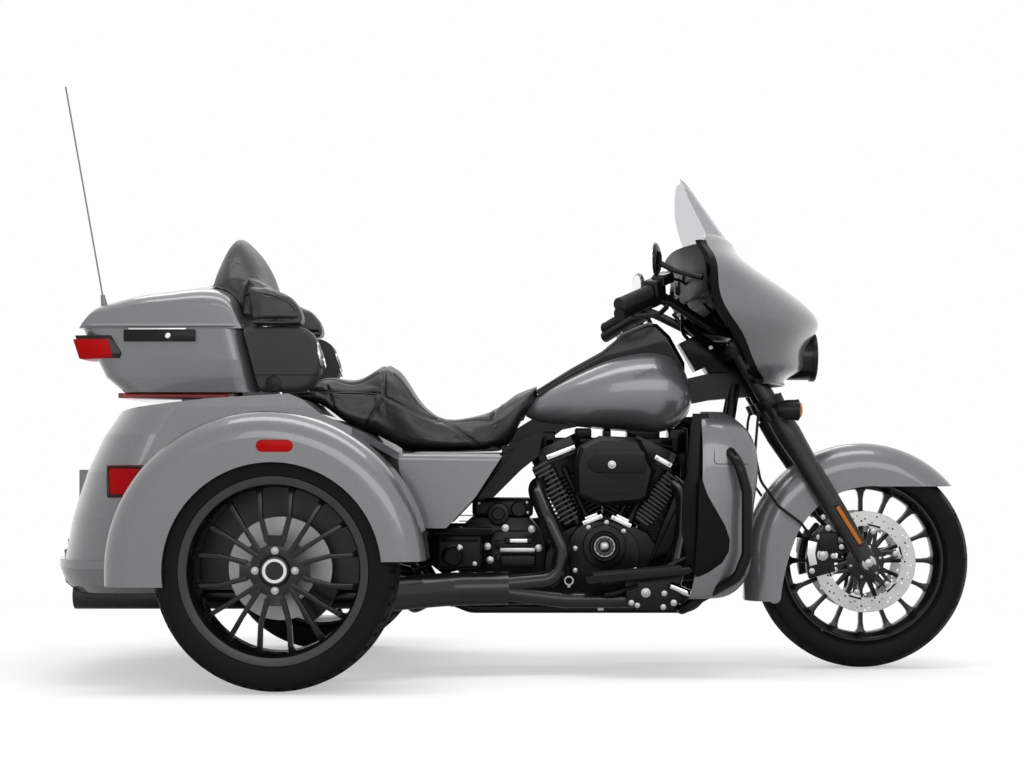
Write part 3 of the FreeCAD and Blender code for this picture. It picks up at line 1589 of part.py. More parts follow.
def packLid():
    """Crowned lid, hollow underneath."""
    half = float(size.packHalfWidth) + 2
    stations = [(-half, 0.48), (-half * 0.98, 0.62), (-half * 0.92, 0.735), (-half * 0.75, 0.85), (-half * 0.4, 0.96),
                (0, 1.0)]
    stations += [(-y, share) for y, share in reversed(stations[:-1])]
    whole = loft([lidSection(y, share) for y, share in stations])
    seam = float(size.packSeam)
    hollow = loft([
        roundedPlan(seam, -1240, -812, half - 18, 40), roundedPlan(seam + 34, -1200, -830, half - 40, 40),
        roundedPlan(seam + 62, -1100, -862, half - 110, 40),
    ], True)
    return whole, whole.cut(hollow)


def backrest():
    """Passenger backrest with its tall middle and two armrests, carried by the lid."""
    rows = [
        (-196, 1150, 40), (-150, 1206, 52), (-80, 1264, 58), (0, 1284, 60), (80, 1264, 58), (150, 1206, 52),
        (196, 1150, 40),
    ]
    wires = []
    for y, top, depth in rows:
        wires.append(Part.Wire([spline([
            (-905, y, 1125), (-872, y, top - 24), (-846, y, top), (-812, y, top - 20),
            (-800 + depth, y, 1128), (-786 + depth * 0.6, y, 1020),
        ]), Part.LineSegment(vector(-786 + depth * 0.6, y, 1020), vector(-905, y, 1125)).toShape()]))
    pad = loft(wires)
    arm = prism([
        (-770, 1006), (-630, 1006), (-622, 1030), (-632, 1056), (-657, 1087), (-700, 1102), (-780, 1118),
    ], -296, -206)
    arm = arm.makeFillet(14, [edge for edge in arm.Edges if edge.BoundBox.YLength < 0.01
                              and edge.BoundBox.ZMin > 1010])
    wing = prism([(-810, 1040), (-720, 1030), (-700, 1100), (-790, 1150)], -230, -150)
    under = lidOuter.copy()
    under.translate(vector(0, 0, gap))
    return addPart("pack_backrest", united([pad, arm, mirrored(arm), wing, mirrored(wing)]).cut(under))


def speakerPods():
    """Right speaker pod beside the passenger, fixed to the front of the pack base."""
    pod = prism([
        (-792, 985), (-779, 985), (-779, 1000), (-640, 1000), ((-604, 986), (-584, 950)), (-572, 918),
        (-578, 866), (-604, 828), (-640, 816), (-752 + 6, 816),
    ], -292, -206)
    pod = pod.makeFillet(16, [edge for edge in pod.Edges if edge.BoundBox.YLength < 0.01
                              and edge.BoundBox.XMin > -760 and edge.BoundBox.YMin < -280])
    return pod


packOuter, packHollow = packBase()
nodes.append(addPart("tour_pack_base", packHollow))
lidOuter, lidHollow = packLid()
nodes.append(addPart("pack_lid", lidHollow))
nodes.append(backrest())
nodes.append(addPart("speaker_pods", both(speakerPods().cut(packOuter))))


def packLatch():
    """Long latch plate on the right wall of the pack."""
    bar = block(-1130, -928, -303, -280, 957, 990)
    return addPart("pack_latch", bar.cut(packOuter))


def rearLamps():
    """Pack corner lamps, light bar, tail lamps on the body and side markers on the fenders."""
    corner = prism([(-1287, 976), (-1150, 972), (-1168, 922), (-1262, 908), (-1280, 930)], -298, -150)
    corner = corner.cut(packOuter)
    bar = block(-1165, -830, -214, 214, 799, float(size.packFloor) - gap)
    outer = bodySolid()
    shifted = outer.copy()
    shifted.translate(vector(-5, -5, 0))
    tail = shifted.common(prism([(rx - 480, 606), (rx - 372, 606), (rx - 400, 517), (rx - 474, 517)], -600, -430))
    tail = tail.cut(outer).cut(rearFender())
    right = [corner, tail, sideMarker(0, 0, 6)]
    lamps = right + [mirrored(shape) for shape in right] + [bar]
    return addPart("rear_lamps", Part.makeCompound(lamps))


nodes += [packLatch(), rearLamps()]


def antenna():
    """Whip aerial on the rear right corner of the lid."""
    foot = vector(-1206, -200, 1056)
    direction = vector(-1320 + 1206, 0, 1699 - 1056).normalize()
    base = Part.makeCone(11, 6, 42, foot, direction)
    whip = Part.makeCylinder(2.4, 653, foot, direction)
    return addPart("antenna", united([base, whip]).cut(moved(lidOuter, 0, 0, gap)))


nodes.append(antenna())


# Lower fairings, guard, boards and pedals

lowerRows = [
    # height, front x, rear x, outer half width, set-back of the inner edge
    (226, 560, 470, 300, 40),
    (262, 622, 480, 330, 46),
    (330, 648, 490, 345, 46),
    (430, 652, 500, 350, 50),
    (530, 662, 506, 350, 60),
    (620, 668, 508, 345, 80),
    (690, 650, 508, 330, 92),
    (735, 612, 508, 300, 72),
    (758, 575, 510, 270, 44),
]


def guardTube(radius):
    """The right half of the guard's hoop, from the down tube out, down and back to the lower rail."""
    return tube([
        (593, -100 - gap, 606), (593, -132, 606), (582, -200, 640), (582, -324, 648), (606, -372, 610),
        (628, -374, 530), (628, -374, 356), (604, -364, 292), (500, -262, 222), (460, -232, 190),
        (460, -178 - gap, 190),
    ], radius, 50)


def lowerFairings():
    """Leg shields: curved shells that wrap from the down tube round to the outer side."""
    wires = []
    for height, front, rear, outer, tuck in lowerRows:
        curve = [
            (rear, -outer), (rear + (front - rear) * 0.6, -outer + 8), (front, -outer + 48),
            (front - tuck * 0.3, -(outer + 138) / 2), (front - tuck, -186),
        ]
        wires.append(shellWire(curve, 8, height))
    return addPart("lower_fairings", both(loft(wires).cut(guardTube(15 + gap))))


def engineGuard():
    """Hoop of tube that guards and carries the leg shields."""
    return addPart("engine_guard", both(guardTube(15)))


def footControls():
    """Two floorboards on brackets, the brake pedal and the shift lever."""
    board = prism([
        ((180, 282), (190, 272)), (468, 298), (478, 310), (470, 318), (190, 292),
    ], -335, -222)
    arm = prism([(228, 262), (400, 278), (400, 293), (228, 277)], -224, -172)
    foot = prism([(300, 198), (400, 198), (400, 238), (300, 238)], -184, -railY - railR - gap)
    riser = prism([(300, 224), (400, 224), (400, 290), (300, 280)], -184, -172)
    pedal = tube([(390, -240, 300), (450, -240, 330), (520, -240, 352), (560, -262, 362), (565, -310, 372)], 9, 40)
    right = united([board, arm, foot, riser, pedal])
    return addPart("foot_controls", both(right))


nodes += [lowerFairings(), engineGuard(), footControls()]

doc.recompute()


# Checks and output

def report(item):
    state = " ".join(item.State)
    return "Invalid" in state or "Error" in state


failed = [item.Name for item in doc.Objects if report(item)]
for item in nodes:
    shape = item.Shape
    if shape.isNull() or not shape.isValid() or not shape.Solids:
        failed.append(item.Label)
if failed:
    raise RuntimeError("failed: " + ", ".join(failed))

os.makedirs("parts", exist_ok=True)
for item in nodes:
    item.Shape.exportStep("parts/%s.step" % item.Label)
    print(item.Label, len(item.Shape.Solids), round(item.Shape.Volume / 1e6, 3))
print("nodes", len(nodes))
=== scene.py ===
import bpy
import bmesh
import math
from mathutils import Matrix, Vector
from mathutils.bvhtree import BVHTree


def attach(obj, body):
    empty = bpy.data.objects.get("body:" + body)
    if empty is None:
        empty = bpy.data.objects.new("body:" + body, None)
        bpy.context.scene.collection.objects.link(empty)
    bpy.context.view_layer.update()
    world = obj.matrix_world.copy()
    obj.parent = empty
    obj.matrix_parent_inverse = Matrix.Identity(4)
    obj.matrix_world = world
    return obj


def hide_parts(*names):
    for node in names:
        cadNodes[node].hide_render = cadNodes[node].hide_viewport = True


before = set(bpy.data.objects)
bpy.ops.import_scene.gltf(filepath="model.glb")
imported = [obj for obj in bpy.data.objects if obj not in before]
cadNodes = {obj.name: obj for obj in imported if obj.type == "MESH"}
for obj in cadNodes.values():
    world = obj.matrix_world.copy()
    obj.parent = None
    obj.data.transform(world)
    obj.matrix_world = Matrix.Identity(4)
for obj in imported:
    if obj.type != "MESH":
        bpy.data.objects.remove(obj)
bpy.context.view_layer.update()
print("frame loaded with", len(cadNodes), "nodes")


# Camera, floor and light

cameraSetup = {"place": (0.008, -5.335, 0.603), "lens": 62.44, "shift": (-0.0127, 0.0801)}


def placeObject(name, data):
    item = bpy.data.objects.new(name, data)
    bpy.context.scene.collection.objects.link(item)
    return item


def setCamera():
    data = bpy.data.cameras.new("sideCamera")
    data.sensor_width = 36
    data.lens = cameraSetup["lens"]
    data.shift_x, data.shift_y = cameraSetup["shift"]
    data.clip_end = 60
    camera = placeObject("sideCamera", data)
    camera.location = cameraSetup["place"]
    camera.rotation_euler = (math.radians(90), 0, 0)
    bpy.context.scene.camera = camera


def addNode(tree, kind, inputs=None, **traits):
    node = tree.nodes.new("ShaderNode" + kind)
    for trait, value in traits.items():
        setattr(node, trait, value)
    for socket, value in (inputs or {}).items():
        if isinstance(value, bpy.types.NodeSocket):
            tree.links.new(value, node.inputs[socket])
        else:
            node.inputs[socket].default_value = value
    return node


def maths(tree, operation, *values, **traits):
    return addNode(tree, "Math", dict(enumerate(values)), operation=operation, **traits)


def vectors(tree, operation, *values):
    return addNode(tree, "VectorMath", dict(enumerate(values)), operation=operation)


def noise(tree, place, scale, detail):
    return addNode(tree, "TexNoise", {"Vector": place, "Scale": scale, "Detail": detail})


def objectPlace(tree):
    return addNode(tree, "TexCoord").outputs["Object"]


def emptyMaterial(name):
    material = bpy.data.materials.new(name)
    material.use_nodes = True
    material.node_tree.nodes.clear()
    return material, material.node_tree


studio = {
    "floorColour": (0.86, 0.86, 0.86, 1),
    "floorLift": 0.44,
    "floorRadius": 7.0,
    "worldStrength": 0.42,
    "lamps": [
        # name, place, aims at, size, power
        ("overhead", (0.0, -0.7, 3.6), (0, 0, 0.5), (3.8, 1.0), 46),
        ("nearSide", (0.6, -4.4, 1.9), (0, 0, 0.6), (4.4, 1.6), 44),
        ("farSide", (-0.4, 3.0, 3.7), (0, 0, 0.6), (4.0, 1.2), 34),
    ],
}


def setStudio():
    floorMesh = bmesh.new()
    bmesh.ops.create_circle(floorMesh, cap_ends=True, segments=96, radius=studio["floorRadius"])
    mesh = bpy.data.meshes.new("floor")
    floorMesh.to_mesh(mesh)
    floorMesh.free()
    floor = placeObject("floor", mesh)

    material, tree = emptyMaterial("paleFloor")
    place = addNode(tree, "TexCoord")
    squeezed = vectors(tree, "MULTIPLY", place.outputs["Object"], (0.62, 1.0, 1.0))
    apart = vectors(tree, "LENGTH", squeezed.outputs[0])
    fade = addNode(tree, "MapRange", {
        "Value": apart.outputs["Value"], "From Min": 0.9, "From Max": 3.0, "To Min": 0.0, "To Max": 1.0,
    }, interpolation_type="SMOOTHSTEP")
    path = addNode(tree, "LightPath")
    matt = addNode(tree, "BsdfDiffuse", {"Color": studio["floorColour"]})
    lift = addNode(tree, "Emission", {"Color": (1, 1, 1, 1)})
    shown = maths(tree, "MULTIPLY", path.outputs["Is Camera Ray"], studio["floorLift"])
    tree.links.new(shown.outputs[0], lift.inputs["Strength"])
    lit = addNode(tree, "AddShader", {0: matt.outputs[0], 1: lift.outputs[0]})
    clear = addNode(tree, "BsdfTransparent")
    both = addNode(tree, "MixShader", {0: fade.outputs[0], 1: lit.outputs[0], 2: clear.outputs[0]})
    addNode(tree, "OutputMaterial", {"Surface": both.outputs[0]})
    floor.data.materials.append(material)

    world = bpy.data.worlds.new("studioWorld")
    world.use_nodes = True
    tree = world.node_tree
    tree.nodes.clear()
    path = addNode(tree, "LightPath")
    seen = maths(tree, "MAXIMUM", path.outputs["Is Camera Ray"], path.outputs["Is Glossy Ray"])
    seen = maths(tree, "MAXIMUM", seen.outputs[0], path.outputs["Is Transmission Ray"])
    glow = addNode(tree, "Background", {"Color": (1, 1, 1, 1), "Strength": studio["worldStrength"]})
    white = addNode(tree, "Background", {"Color": (1, 1, 1, 1), "Strength": 1.0})
    mixed = addNode(tree, "MixShader", {0: seen.outputs[0], 1: glow.outputs[0], 2: white.outputs[0]})
    addNode(tree, "OutputWorld", {"Surface": mixed.outputs[0]})
    bpy.context.scene.world = world

    for name, place, target, extent, power in studio["lamps"]:
        lamp = bpy.data.lights.new(name, "AREA")
        lamp.shape = "RECTANGLE"
        lamp.size, lamp.size_y = extent
        lamp.energy = power
        holder = placeObject(name, lamp)
        holder.location = place
        holder.rotation_euler = (Vector(target) - Vector(place)).to_track_quat("-Z", "Y").to_euler()


setCamera()
setStudio()
bpy.context.scene.view_settings.view_transform = "Standard"
print("camera, floor and lamps set")


# Effects that several finishes share

def newGroup(name, inputs, outputs):
    group = bpy.data.node_groups.new(name, "ShaderNodeTree")
    for label, value in inputs:
        kind = "NodeSocketVector" if isinstance(value, tuple) else "NodeSocketFloat"
        socket = group.interface.new_socket(name=label, in_out="INPUT", socket_type=kind)
        socket.default_value = value
    for label in outputs:
        kind = "NodeSocketColor" if label == "Colour" else "NodeSocketFloat"
        group.interface.new_socket(name=label, in_out="OUTPUT", socket_type=kind)
    return group, group.nodes.new("NodeGroupInput"), group.nodes.new("NodeGroupOutput")


def wheelRadius(group, place, centre):
    # how far a point is from an axle that runs across the vehicle
    local = vectors(group, "SUBTRACT", place, centre)
    flat = vectors(group, "MULTIPLY", local.outputs[0], (1.0, 0.0, 1.0))
    return vectors(group, "LENGTH", flat.outputs[0]).outputs["Value"]


def makeFineGrain():
    group, given, result = newGroup("fineGrain", [("Scale", 400.0), ("Detail", 3.0)], ["Height", "Tone"])
    place = objectPlace(group)
    fine = noise(group, place, given.outputs["Scale"], given.outputs["Detail"])
    wide = noise(group, place, 7.0, 4.0)
    group.links.new(fine.outputs["Fac"], result.inputs["Height"])
    group.links.new(wide.outputs["Fac"], result.inputs["Tone"])
    return group


def makeEdgeWear():
    group, given, result = newGroup("edgeWear", [("Reach", 0.002), ("Amount", 1.0)], ["Mask"])
    soft = addNode(group, "Bevel", {"Radius": given.outputs["Reach"]}, samples=4)
    sharp = addNode(group, "NewGeometry")
    same = vectors(group, "DOT_PRODUCT", soft.outputs[0], sharp.outputs["Normal"])
    edge = addNode(group, "MapRange", {
        "Value": same.outputs["Value"], "From Min": 0.98, "From Max": 0.80, "To Min": 0.0, "To Max": 1.0})
    place = objectPlace(group)
    broken = noise(group, place, 60.0, 3.0)
    some = addNode(group, "MapRange", {
        "Value": broken.outputs["Fac"], "From Min": 0.35, "From Max": 0.6})
    worn = maths(group, "MULTIPLY", edge.outputs[0], some.outputs[0])
    final = maths(group, "MULTIPLY", worn.outputs[0], given.outputs["Amount"], use_clamp=True)
    group.links.new(final.outputs[0], result.inputs["Mask"])
    return group


def makeRoadDust():
    group, given, result = newGroup("roadDust", [("Top", 0.5), ("Amount", 0.2)], ["Mask"])
    place = objectPlace(group)
    parts = addNode(group, "SeparateXYZ", {0: place})
    low = addNode(group, "MapRange", {
        "Value": parts.outputs["Z"], "From Min": given.outputs["Top"], "From Max": 0.0})
    cloud = noise(group, place, 14.0, 6.0)
    both = maths(group, "MULTIPLY", low.outputs[0], cloud.outputs["Fac"])
    final = maths(group, "MULTIPLY", both.outputs[0], given.outputs["Amount"], use_clamp=True)
    group.links.new(final.outputs[0], result.inputs["Mask"])
    return group


def makePaintFlake():
    group, given, result = newGroup("paintFlake", [("Scale", 900.0)], ["Tone", "Height"])
    place = objectPlace(group)
    cells = addNode(group, "TexVoronoi", {"Vector": place, "Scale": given.outputs["Scale"]})
    peel = noise(group, place, 160.0, 1.0)
    tone = addNode(group, "SeparateColor", {0: cells.outputs["Color"]})
    group.links.new(tone.outputs[0], result.inputs["Tone"])
    group.links.new(peel.outputs["Fac"], result.inputs["Height"])
    return group


def makeLeatherGrain():
    group, given, result = newGroup("leatherGrain", [("Scale", 320.0), ("Warp", 0.002)], ["Height", "Tone"])
    place = objectPlace(group)
    sway = noise(group, place, 90.0, 2.0)
    push = addNode(group, "VectorMath", {0: sway.outputs["Color"], "Scale": given.outputs["Warp"]},
                   operation="SCALE")
    moved = vectors(group, "ADD", place, push.outputs[0])
    cells = addNode(group, "TexVoronoi", {
        "Vector": moved.outputs[0], "Scale": given.outputs["Scale"]}, feature="DISTANCE_TO_EDGE")
    pebble = addNode(group, "MapRange", {
        "Value": cells.outputs["Distance"], "From Min": 0.0, "From Max": 0.25},
        interpolation_type="SMOOTHSTEP")
    wide = noise(group, place, 9.0, 5.0)
    group.links.new(pebble.outputs[0], result.inputs["Height"])
    group.links.new(wide.outputs["Fac"], result.inputs["Tone"])
    return group


def makeTurnedRings():
    group, given, result = newGroup("turnedRings", [("Centre", (0.0, 0.0, 0.0)), ("Pitch", 900.0)],
                                    ["Height", "Tone"])
    place = objectPlace(group)
    radius = wheelRadius(group, place, given.outputs["Centre"])
    spread = maths(group, "MULTIPLY", radius, given.outputs["Pitch"])
    rings = addNode(group, "TexNoise", {"W": spread.outputs[0], "Scale": 1.0, "Detail": 3.0},
                    noise_dimensions="1D")
    wide = noise(group, place, 30.0, 3.0)
    group.links.new(rings.outputs["Fac"], result.inputs["Height"])
    group.links.new(wide.outputs["Fac"], result.inputs["Tone"])
    return group


# painted shade: a mask that is one inside the rear wheel well, near the axle and within the body's sides, where
# shade falls
def makePaintedWellShade():
    group, given, result = newGroup("paintedWellShade",
                                    [("Centre", (0.0, 0.0, 0.0)), ("Reach", 0.35), ("Outside", 0.68)],
                                    ["Mask"])
    place = objectPlace(group)
    radius = wheelRadius(group, place, given.outputs["Centre"])
    parts = addNode(group, "SeparateXYZ", {0: place})
    across = maths(group, "ABSOLUTE", parts.outputs["Y"])
    near = maths(group, "LESS_THAN", radius, given.outputs["Reach"])
    inside = maths(group, "LESS_THAN", across.outputs[0], given.outputs["Outside"])
    final = maths(group, "MULTIPLY", near.outputs[0], inside.outputs[0])
    group.links.new(final.outputs[0], result.inputs["Mask"])
    return group


effects = {
    "paintedWellShade": makePaintedWellShade(),
    "fineGrain": makeFineGrain(),
    "edgeWear": makeEdgeWear(),
    "roadDust": makeRoadDust(),
    "paintFlake": makePaintFlake(),
    "leatherGrain": makeLeatherGrain(),
    "turnedRings": makeTurnedRings(),
}
print("shared effects made")


# Finishes

def useGroup(tree, name, **inputs):
    node = tree.nodes.new("ShaderNodeGroup")
    node.node_tree = effects[name]
    for socket, value in inputs.items():
        node.inputs[socket].default_value = value
    return node


def blendColours(tree, mask, first, second):
    mix = addNode(tree, "Mix", data_type="RGBA")
    for index, value in ((0, mask), (6, first), (7, second)):
        if isinstance(value, bpy.types.NodeSocket):
            tree.links.new(value, mix.inputs[index])
        else:
            mix.inputs[index].default_value = value
    return mix.outputs[2]


def shade(value, factor):
    return tuple(min(1, channel * factor) for channel in value[:3]) + (1,)


def black(level):
    return (level, level, level + 0.0005, 1)


def finish(name, colour, roughness, metallic=0.0, coat=0.0, grain=("fineGrain", 500.0), bump=0.1,
           depth=0.0004, tone=0.15, spread=0.08, wear=None, dust=None, wellShade=None, specular=0.5,
           coatRoughness=0.03):
    material, tree = emptyMaterial(name)
    shader = addNode(tree, "BsdfPrincipled", {
        "Metallic": metallic, "Coat Weight": coat, "Specular IOR Level": specular,
        "Coat Roughness": coatRoughness})
    texture = useGroup(tree, grain[0], **({"Scale": grain[1]} if grain[0] != "turnedRings" else grain[1]))
    base = blendColours(tree, texture.outputs["Tone"], shade(colour, 1 - tone), shade(colour, 1 + tone))
    rough = addNode(tree, "MapRange", {
        "Value": texture.outputs["Tone"], "From Min": 0.25, "From Max": 0.75,
        "To Min": max(0.0, roughness - spread), "To Max": min(1.0, roughness + spread)}).outputs[0]
    if dust:
        mask = useGroup(tree, "roadDust", Top=dust[0], Amount=dust[1])
        base = blendColours(tree, mask.outputs[0], base, (0.22, 0.205, 0.18, 1))
    if wear:
        mask = useGroup(tree, "edgeWear", Reach=wear[0], Amount=wear[1])
        base = blendColours(tree, mask.outputs[0], base, wear[2])
    # painted shade inside the rear wheel well: the colour goes near black and the metal and coat fall away
    if wellShade:
        mask = useGroup(tree, "paintedWellShade", **wellShade).outputs["Mask"]
        base = blendColours(tree, mask, base, (0.006, 0.006, 0.006, 1))
        for socket, value in (("Metallic", metallic), ("Coat Weight", coat)):
            shadeDimmed = addNode(tree, "MapRange", {"Value": mask, "To Min": value, "To Max": 0.0})
            tree.links.new(shadeDimmed.outputs[0], shader.inputs[socket])
    tree.links.new(base, shader.inputs["Base Color"])
    tree.links.new(rough, shader.inputs["Roughness"])
    if bump:
        raised = addNode(tree, "Bump", {
            "Strength": bump, "Distance": depth, "Height": texture.outputs["Height"]})
        tree.links.new(raised.outputs[0], shader.inputs["Normal"])
    addNode(tree, "OutputMaterial", {"Surface": shader.outputs[0]})
    return material


frontHub = Vector((1.015, 0, 0.3195))
rearHub = Vector((-0.655, 0, 0.3255))
wheelReach = 0.560
right = Vector((0, -1, 0))

silver = {
    "colour": (0.175, 0.178, 0.184, 1), "roughness": 0.36, "metallic": 0.4, "coat": 1.0,
    "grain": ("paintFlake", 1100.0), "bump": 0.06, "depth": 0.0003, "tone": 0.16, "spread": 0.05,
    "coatRoughness": 0.05,
}
finishes = {
    "paint": finish("silverPaint", **silver),
    # the rear body's silver paint, with painted shade inside the rear wheel well
    "bodyPaintWithWellShade": finish("bodyPaintWithWellShade", wellShade={"Centre": rearHub, "Reach": 0.3515, "Outside": 0.683}, **silver),
    "innerBlack": finish("innerBlack", black(0.003), 0.20, 0.0, bump=0.05, specular=0.1),
    "rimLip": finish("rimLip", (0.030, 0.030, 0.031, 1), 0.34, 0.3, bump=0.06, dust=(0.5, 0.03)),
    "forkBlack": finish("forkBlack", black(0.022), 0.30, 0.1, bump=0.08, specular=0.4),
    "whip": finish("whipGrey", (0.20, 0.20, 0.20, 1), 0.4, 0.6, bump=0.1),
    "gloss": finish("glossBlack", black(0.004), 0.14, 0.0, bump=0.03, spread=0.04, specular=0.28),
    "satin": finish("satinBlack", black(0.005), 0.32, 0.0, bump=0.12, spread=0.07, specular=0.2),
    "frame": finish("frameBlack", black(0.004), 0.24, 0.0, bump=0.08, dust=(0.3, 0.04), specular=0.2),
    "engine": finish("engineBlack", black(0.005), 0.36, 0.0, grain=("fineGrain", 1400.0), bump=0.35,
                     depth=0.0005, wear=(0.0012, 0.25, (0.16, 0.16, 0.165, 1)), specular=0.22),
    "fins": finish("finBlack", black(0.008), 0.36, 0.1, grain=("fineGrain", 1200.0), bump=0.2,
                   wear=(0.0014, 0.8, (0.34, 0.34, 0.35, 1)), specular=0.3),
    "exhaust": finish("exhaustBlack", black(0.010), 0.24, 0.15, 0.25, bump=0.06, dust=(0.3, 0.03),
                      specular=0.35, coatRoughness=0.12),
    "wheel": finish("wheelBlack", black(0.0055), 0.24, 0.0, bump=0.06, dust=(0.5, 0.03), specular=0.36),
    "disc": finish("discSteel", (0.50, 0.50, 0.49, 1), 0.30, 1.0,
                   grain=("turnedRings", {"Centre": tuple(frontHub), "Pitch": 1500.0}), bump=0.15, tone=0.1),
    "rearDisc": finish("rearDiscSteel", (0.34, 0.34, 0.335, 1), 0.38, 1.0,
                       grain=("turnedRings", {"Centre": tuple(rearHub), "Pitch": 1500.0}), bump=0.15,
                       tone=0.1),
    "rubber": finish("tyreRubber", black(0.0045), 0.56, 0.0, grain=("fineGrain", 900.0), bump=0.2,
                     tone=0.25, dust=(0.65, 0.012), specular=0.12),
    "leather": finish("seatLeather", black(0.010), 0.36, 0.0, grain=("leatherGrain", 420.0), bump=0.22,
                      depth=0.0005, tone=0.2, spread=0.06, specular=0.5),
    "vinyl": finish("grainedVinyl", black(0.034), 0.48, 0.0, grain=("leatherGrain", 260.0), bump=0.5,
                    depth=0.0008, tone=0.2, specular=0.32),
    "plastic": finish("mouldedPlastic", black(0.006), 0.42, 0.0, grain=("fineGrain", 2200.0), bump=0.25,
                      depth=0.0003, specular=0.16),
    "grip": finish("gripRubber", black(0.011), 0.52, 0.0, grain=("fineGrain", 1500.0), bump=0.4,
                   specular=0.28),
    "chrome": finish("polishedChrome", (0.78, 0.78, 0.79, 1), 0.07, 1.0, bump=0.02, tone=0.04, spread=0.03),
    "machined": finish("machinedMetal", (0.66, 0.66, 0.65, 1), 0.30, 1.0, grain=("fineGrain", 1800.0),
                       bump=0.12, tone=0.08),
    "steel": finish("plainSteel", (0.42, 0.42, 0.42, 1), 0.34, 1.0, grain=("fineGrain", 900.0), bump=0.1),
    "darkMetal": finish("darkMetal", (0.07, 0.07, 0.072, 1), 0.38, 0.7, grain=("fineGrain", 900.0),
                        bump=0.12),
    "dial": finish("dialFace", (0.012, 0.012, 0.014, 1), 0.4, 0.0, bump=0.0),
    "amber": finish("amberLens", (0.62, 0.17, 0.005, 1), 0.22, 0.0, grain=("fineGrain", 260.0), bump=0.15,
                    specular=0.25),
    "red": finish("redLens", (0.52, 0.001, 0.002, 1), 0.26, 0.0, grain=("fineGrain", 240.0), bump=0.1,
                  specular=0.1),
    "brightRed": finish("brightRedLens", (0.80, 0.012, 0.010, 1), 0.15, 0.0, 0.3, grain=("fineGrain", 240.0),
                        bump=0.15),
    "darkRed": finish("darkRedLens", (0.20, 0.006, 0.010, 1), 0.12, 0.0, 0.6, grain=("fineGrain", 240.0),
                      bump=0.1),
    "mirrorGlass": finish("mirrorGlass", (0.86, 0.88, 0.90, 1), 0.03, 1.0, bump=0.0, tone=0.01, spread=0.01),
}


def clearFinish(name, colour, roughness, ior, weight=1.0):
    material, tree = emptyMaterial(name)
    grain = useGroup(tree, "fineGrain", Scale=40.0)
    rough = addNode(tree, "MapRange", {
        "Value": grain.outputs["Height"], "To Min": roughness, "To Max": roughness + 0.004})
    shader = addNode(tree, "BsdfPrincipled", {
        "Base Color": colour, "Transmission Weight": weight, "IOR": ior, "Metallic": 0.0,
        "Roughness": rough.outputs[0]})
    addNode(tree, "OutputMaterial", {"Surface": shader.outputs[0]})
    return material


finishes["smoked"] = clearFinish("smokedScreen", (0.62, 0.63, 0.64, 1), 0.0, 1.015)
finishes["clear"] = clearFinish("clearLens", (0.95, 0.96, 0.97, 1), 0.0, 1.25)

cadFinish = {
    # finish and the frame's nodes that stay in view with it
    "bodyPaintWithWellShade": ["rear_body"],
    "whip": ["antenna"],
    "innerBlack": ["inner_fairing"],
    "paint": ["front_fender", "outer_fairing", "fuel_tank", "trunk_door", "side_covers",
              "tour_pack_base", "pack_lid", "lower_fairings"],
    "gloss": ["mirrors", "fuel_door"],
    "satin": ["brake_hoses"],
    "forkBlack": ["fork_legs"],
    "frame": ["main_frame", "axle_housing", "engine_guard"],
    "engine": ["pushrod_tubes"],
    "exhaust": ["exhaust"],
}
for finishName, names in cadFinish.items():
    for name in names:
        cadNodes[name].data.materials.clear()
        cadNodes[name].data.materials.append(finishes[finishName])
print("finishes given to the frame's nodes")


# Helpers for the new pieces

def setPiece(name, shape, materials, body, replaced=(), sharp=34, merge=0.00002):
    bmesh.ops.remove_doubles(shape, verts=shape.verts, dist=merge)
    bmesh.ops.recalc_face_normals(shape, faces=shape.faces)
    limit = math.radians(sharp)
    for face in shape.faces:
        face.smooth = True
    for edge in shape.edges:
        if len(edge.link_faces) == 2 and edge.calc_face_angle(0) > limit:
            edge.smooth = False
    mesh = bpy.data.meshes.new(name)
    shape.to_mesh(mesh)
    shape.free()
    for item in materials:
        mesh.materials.append(finishes[item])
    piece = placeObject(name, mesh)
    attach(piece, body)
    if replaced:
        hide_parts(*replaced)
    return piece


def roundEdges(shape, edges, size, steps, clamp=True, slide=False):
    bmesh.ops.bevel(shape, geom=list(edges), offset=size, segments=steps, affect="EDGES", profile=0.5,
                    material=-1, clamp_overlap=clamp, loop_slide=slide)


def kindOf(made, kind):
    # the vertices, edges or faces in an operator's answer
    return [item for item in made["geom"] if isinstance(item, kind)]


def outward(turn):
    # away from an axle that runs across the vehicle
    return Vector((math.cos(turn), 0, math.sin(turn)))


def sideways(turn):
    return Vector((-math.sin(turn), 0, math.cos(turn)))


def around(count, start=0.0):
    # the ways out and across at equal turns about an axle
    turns = [start + 2 * math.pi * number / count for number in range(count)]
    return [(outward(turn), sideways(turn)) for turn in turns]


def tint(shape, old, material):
    # gives every face that is not an old one its material
    for face in shape.faces:
        if face not in old:
            face.material_index = material


def addTurned(shape, profile, centre, axis=(0, 1, 0), steps=48, material=0, closed=False):
    # profile holds (radius, distance along the axis)
    old = set(shape.faces)
    axis = Vector(axis).normalized()
    side = axis.orthogonal().normalized()
    centre = Vector(centre)
    points = [shape.verts.new(centre + side * radius + axis * along) for radius, along in profile]
    edges = [shape.edges.new(pair) for pair in zip(points, points[1:])]
    if closed:
        edges.append(shape.edges.new((points[-1], points[0])))
    bmesh.ops.spin(shape, geom=points + edges, cent=centre, axis=axis, dvec=(0, 0, 0), angle=2 * math.pi,
                   steps=steps, use_merge=True, use_duplicate=False)
    tint(shape, old, material)


